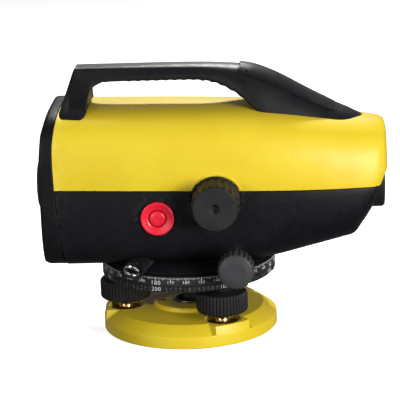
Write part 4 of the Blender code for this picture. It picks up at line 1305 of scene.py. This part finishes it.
def make_handle():
    handle = handle_body("handle_grip", False)
    combine(handle, saddle_region(0), sharp=40)
    stands_for(handle, "handle")
    cap = handle_body("sight_saddle", True)
    combine(cap, saddle_region(SEAM_GAP), operation="INTERSECT", sharp=40)
    hole = turned("cutter", ((0, 7.4), (0.5, 7.4), (0.5, 14), (0, 14)), None, (38.6, 0, 156.6), NEAR, 24,
        corner=0.01)
    combine(cap, hole, sharp=40)
    stands_for(cap, "sight_cover")


# ---- stage, light and camera

CAMERA_AZIMUTH = 3
CAMERA_ELEVATION = 14.8
CAMERA_ROLL = 2.1
CAMERA_DISTANCE = 1200
CAMERA_TARGET = Vector((8.1, 0, 76.5))
VIEW_SIDE = 240
SENSOR = 36


def make_camera():
    azimuth, elevation, roll = (radians(v) for v in (CAMERA_AZIMUTH, CAMERA_ELEVATION, CAMERA_ROLL))
    back = Vector((sin(azimuth) * cos(elevation), -cos(azimuth) * cos(elevation), sin(elevation)))
    level = Vector((cos(azimuth), sin(azimuth), 0))
    upright = back.cross(level)
    right = level * cos(roll) - upright * sin(roll)
    up = upright * cos(roll) + level * sin(roll)
    data = bpy.data.cameras.new("camera")
    data.sensor_width = SENSOR
    data.lens = SENSOR * CAMERA_DISTANCE / VIEW_SIDE
    data.clip_start = 0.05
    data.clip_end = 20
    camera = new_object("camera", data)
    turn = Matrix(((right.x, up.x, back.x), (right.y, up.y, back.y), (right.z, up.z, back.z))).to_4x4()
    turn.translation = (CAMERA_TARGET + back * CAMERA_DISTANCE) * MM
    camera.matrix_world = turn
    bpy.context.scene.camera = camera


def area_light(name, place_m, power, size_m):
    """A square light that looks at the middle of the object."""
    data = bpy.data.lights.new(name, "AREA")
    data.energy = power
    data.shape = "SQUARE"
    data.size = size_m
    light = new_object(name, data)
    light.location = place_m
    aim = CAMERA_TARGET * MM - Vector(place_m)
    light.rotation_euler = aim.to_track_quat("-Z", "Y").to_euler()


BACKDROP_START = 2200
BACKDROP_RADIUS = 3000
BACKDROP_HEIGHT = 2000
BACKDROP_SIDES = 96


def make_backdrop(paper):
    """A pale wall that rises from the floor in a curve, all round and far away."""
    bend = BACKDROP_RADIUS - BACKDROP_START
    profile = []
    for i in range(13):
        turn = i / 12 * pi / 2
        profile.append((BACKDROP_START + bend * sin(turn), 0.5 + bend * (1 - cos(turn))))
    profile.append((BACKDROP_RADIUS, BACKDROP_HEIGHT))
    points = [polar(radius, angle, z) for radius, z in profile for angle in around(BACKDROP_SIDES)]
    faces = []
    for row in range(len(profile) - 1):
        first = row * BACKDROP_SIDES
        faces += ring_faces(first, first + BACKDROP_SIDES, BACKDROP_SIDES)
    backdrop = add_mesh("backdrop", points, faces, paper)
    backdrop.visible_shadow = False
    return backdrop


def make_stage():
    paper = make_floor_paper()
    half = BACKDROP_RADIUS
    floor = add_mesh("floor", ((-half, -half, 0), (half, -half, 0), (half, half, 0), (-half, half, 0)),
        ((0, 1, 2, 3),), paper)
    for surface in (floor, make_backdrop(paper)):
        surface.visible_glossy = False
        surface.visible_diffuse = False
    make_world()
    area_light("key_light", (0.02, 0.60, 0.78), 9, 0.08)
    area_light("front_box", (0.86, -0.94, 0.31), 18.2, 0.52)
    area_light("low_fill", (-0.45, -1.15, 0.12), 1.6, 0.5)
    area_light("edge_light", (-0.78, -0.80, 0.40), 3, 0.08)
    area_light("overhead_box", (0.10, -0.26, 1.10), 0.5, 0.45)


def make_world():
    """A studio that is brighter behind the object than in front of it."""
    world = bpy.data.worlds.new("studio")
    world.use_nodes = True
    nodes = world.node_tree.nodes
    background = nodes["Background"]
    place = nodes.new("ShaderNodeTexCoord")
    split = nodes.new("ShaderNodeSeparateXYZ")
    behind = nodes.new("ShaderNodeMapRange")
    behind.interpolation_type = "SMOOTHSTEP"
    behind.inputs["From Min"].default_value = 0.1
    behind.inputs["From Max"].default_value = 0.8
    tone = nodes.new("ShaderNodeMix")
    tone.data_type = "RGBA"
    tone.inputs[6].default_value = (0.07, 0.07, 0.08, 1)
    tone.inputs[7].default_value = (0.20, 0.185, 0.215, 1)
    links = world.node_tree.links
    links.new(place.outputs["Generated"], split.inputs["Vector"])
    links.new(split.outputs["Y"], behind.inputs["Value"])
    links.new(behind.outputs["Result"], tone.inputs["Factor"])
    links.new(tone.outputs[2], background.inputs["Color"])
    background.inputs["Strength"].default_value = 1
    bpy.context.scene.world = world
    bpy.context.scene.view_settings.view_transform = "Standard"


def main():
    finish_cad_nodes()
    make_camera()
    make_stage()
    make_base_plate()
    make_base_fittings()
    make_footscrews()
    make_tribrach()
    make_circle()
    make_lower_housing()
    make_top_cover()
    make_front_bezel()
    make_objective()
    make_eyepiece()
    make_focus_knob()
    make_drive_knobs()
    make_button()
    make_loupe()
    make_circular_level()
    make_handle()


main()
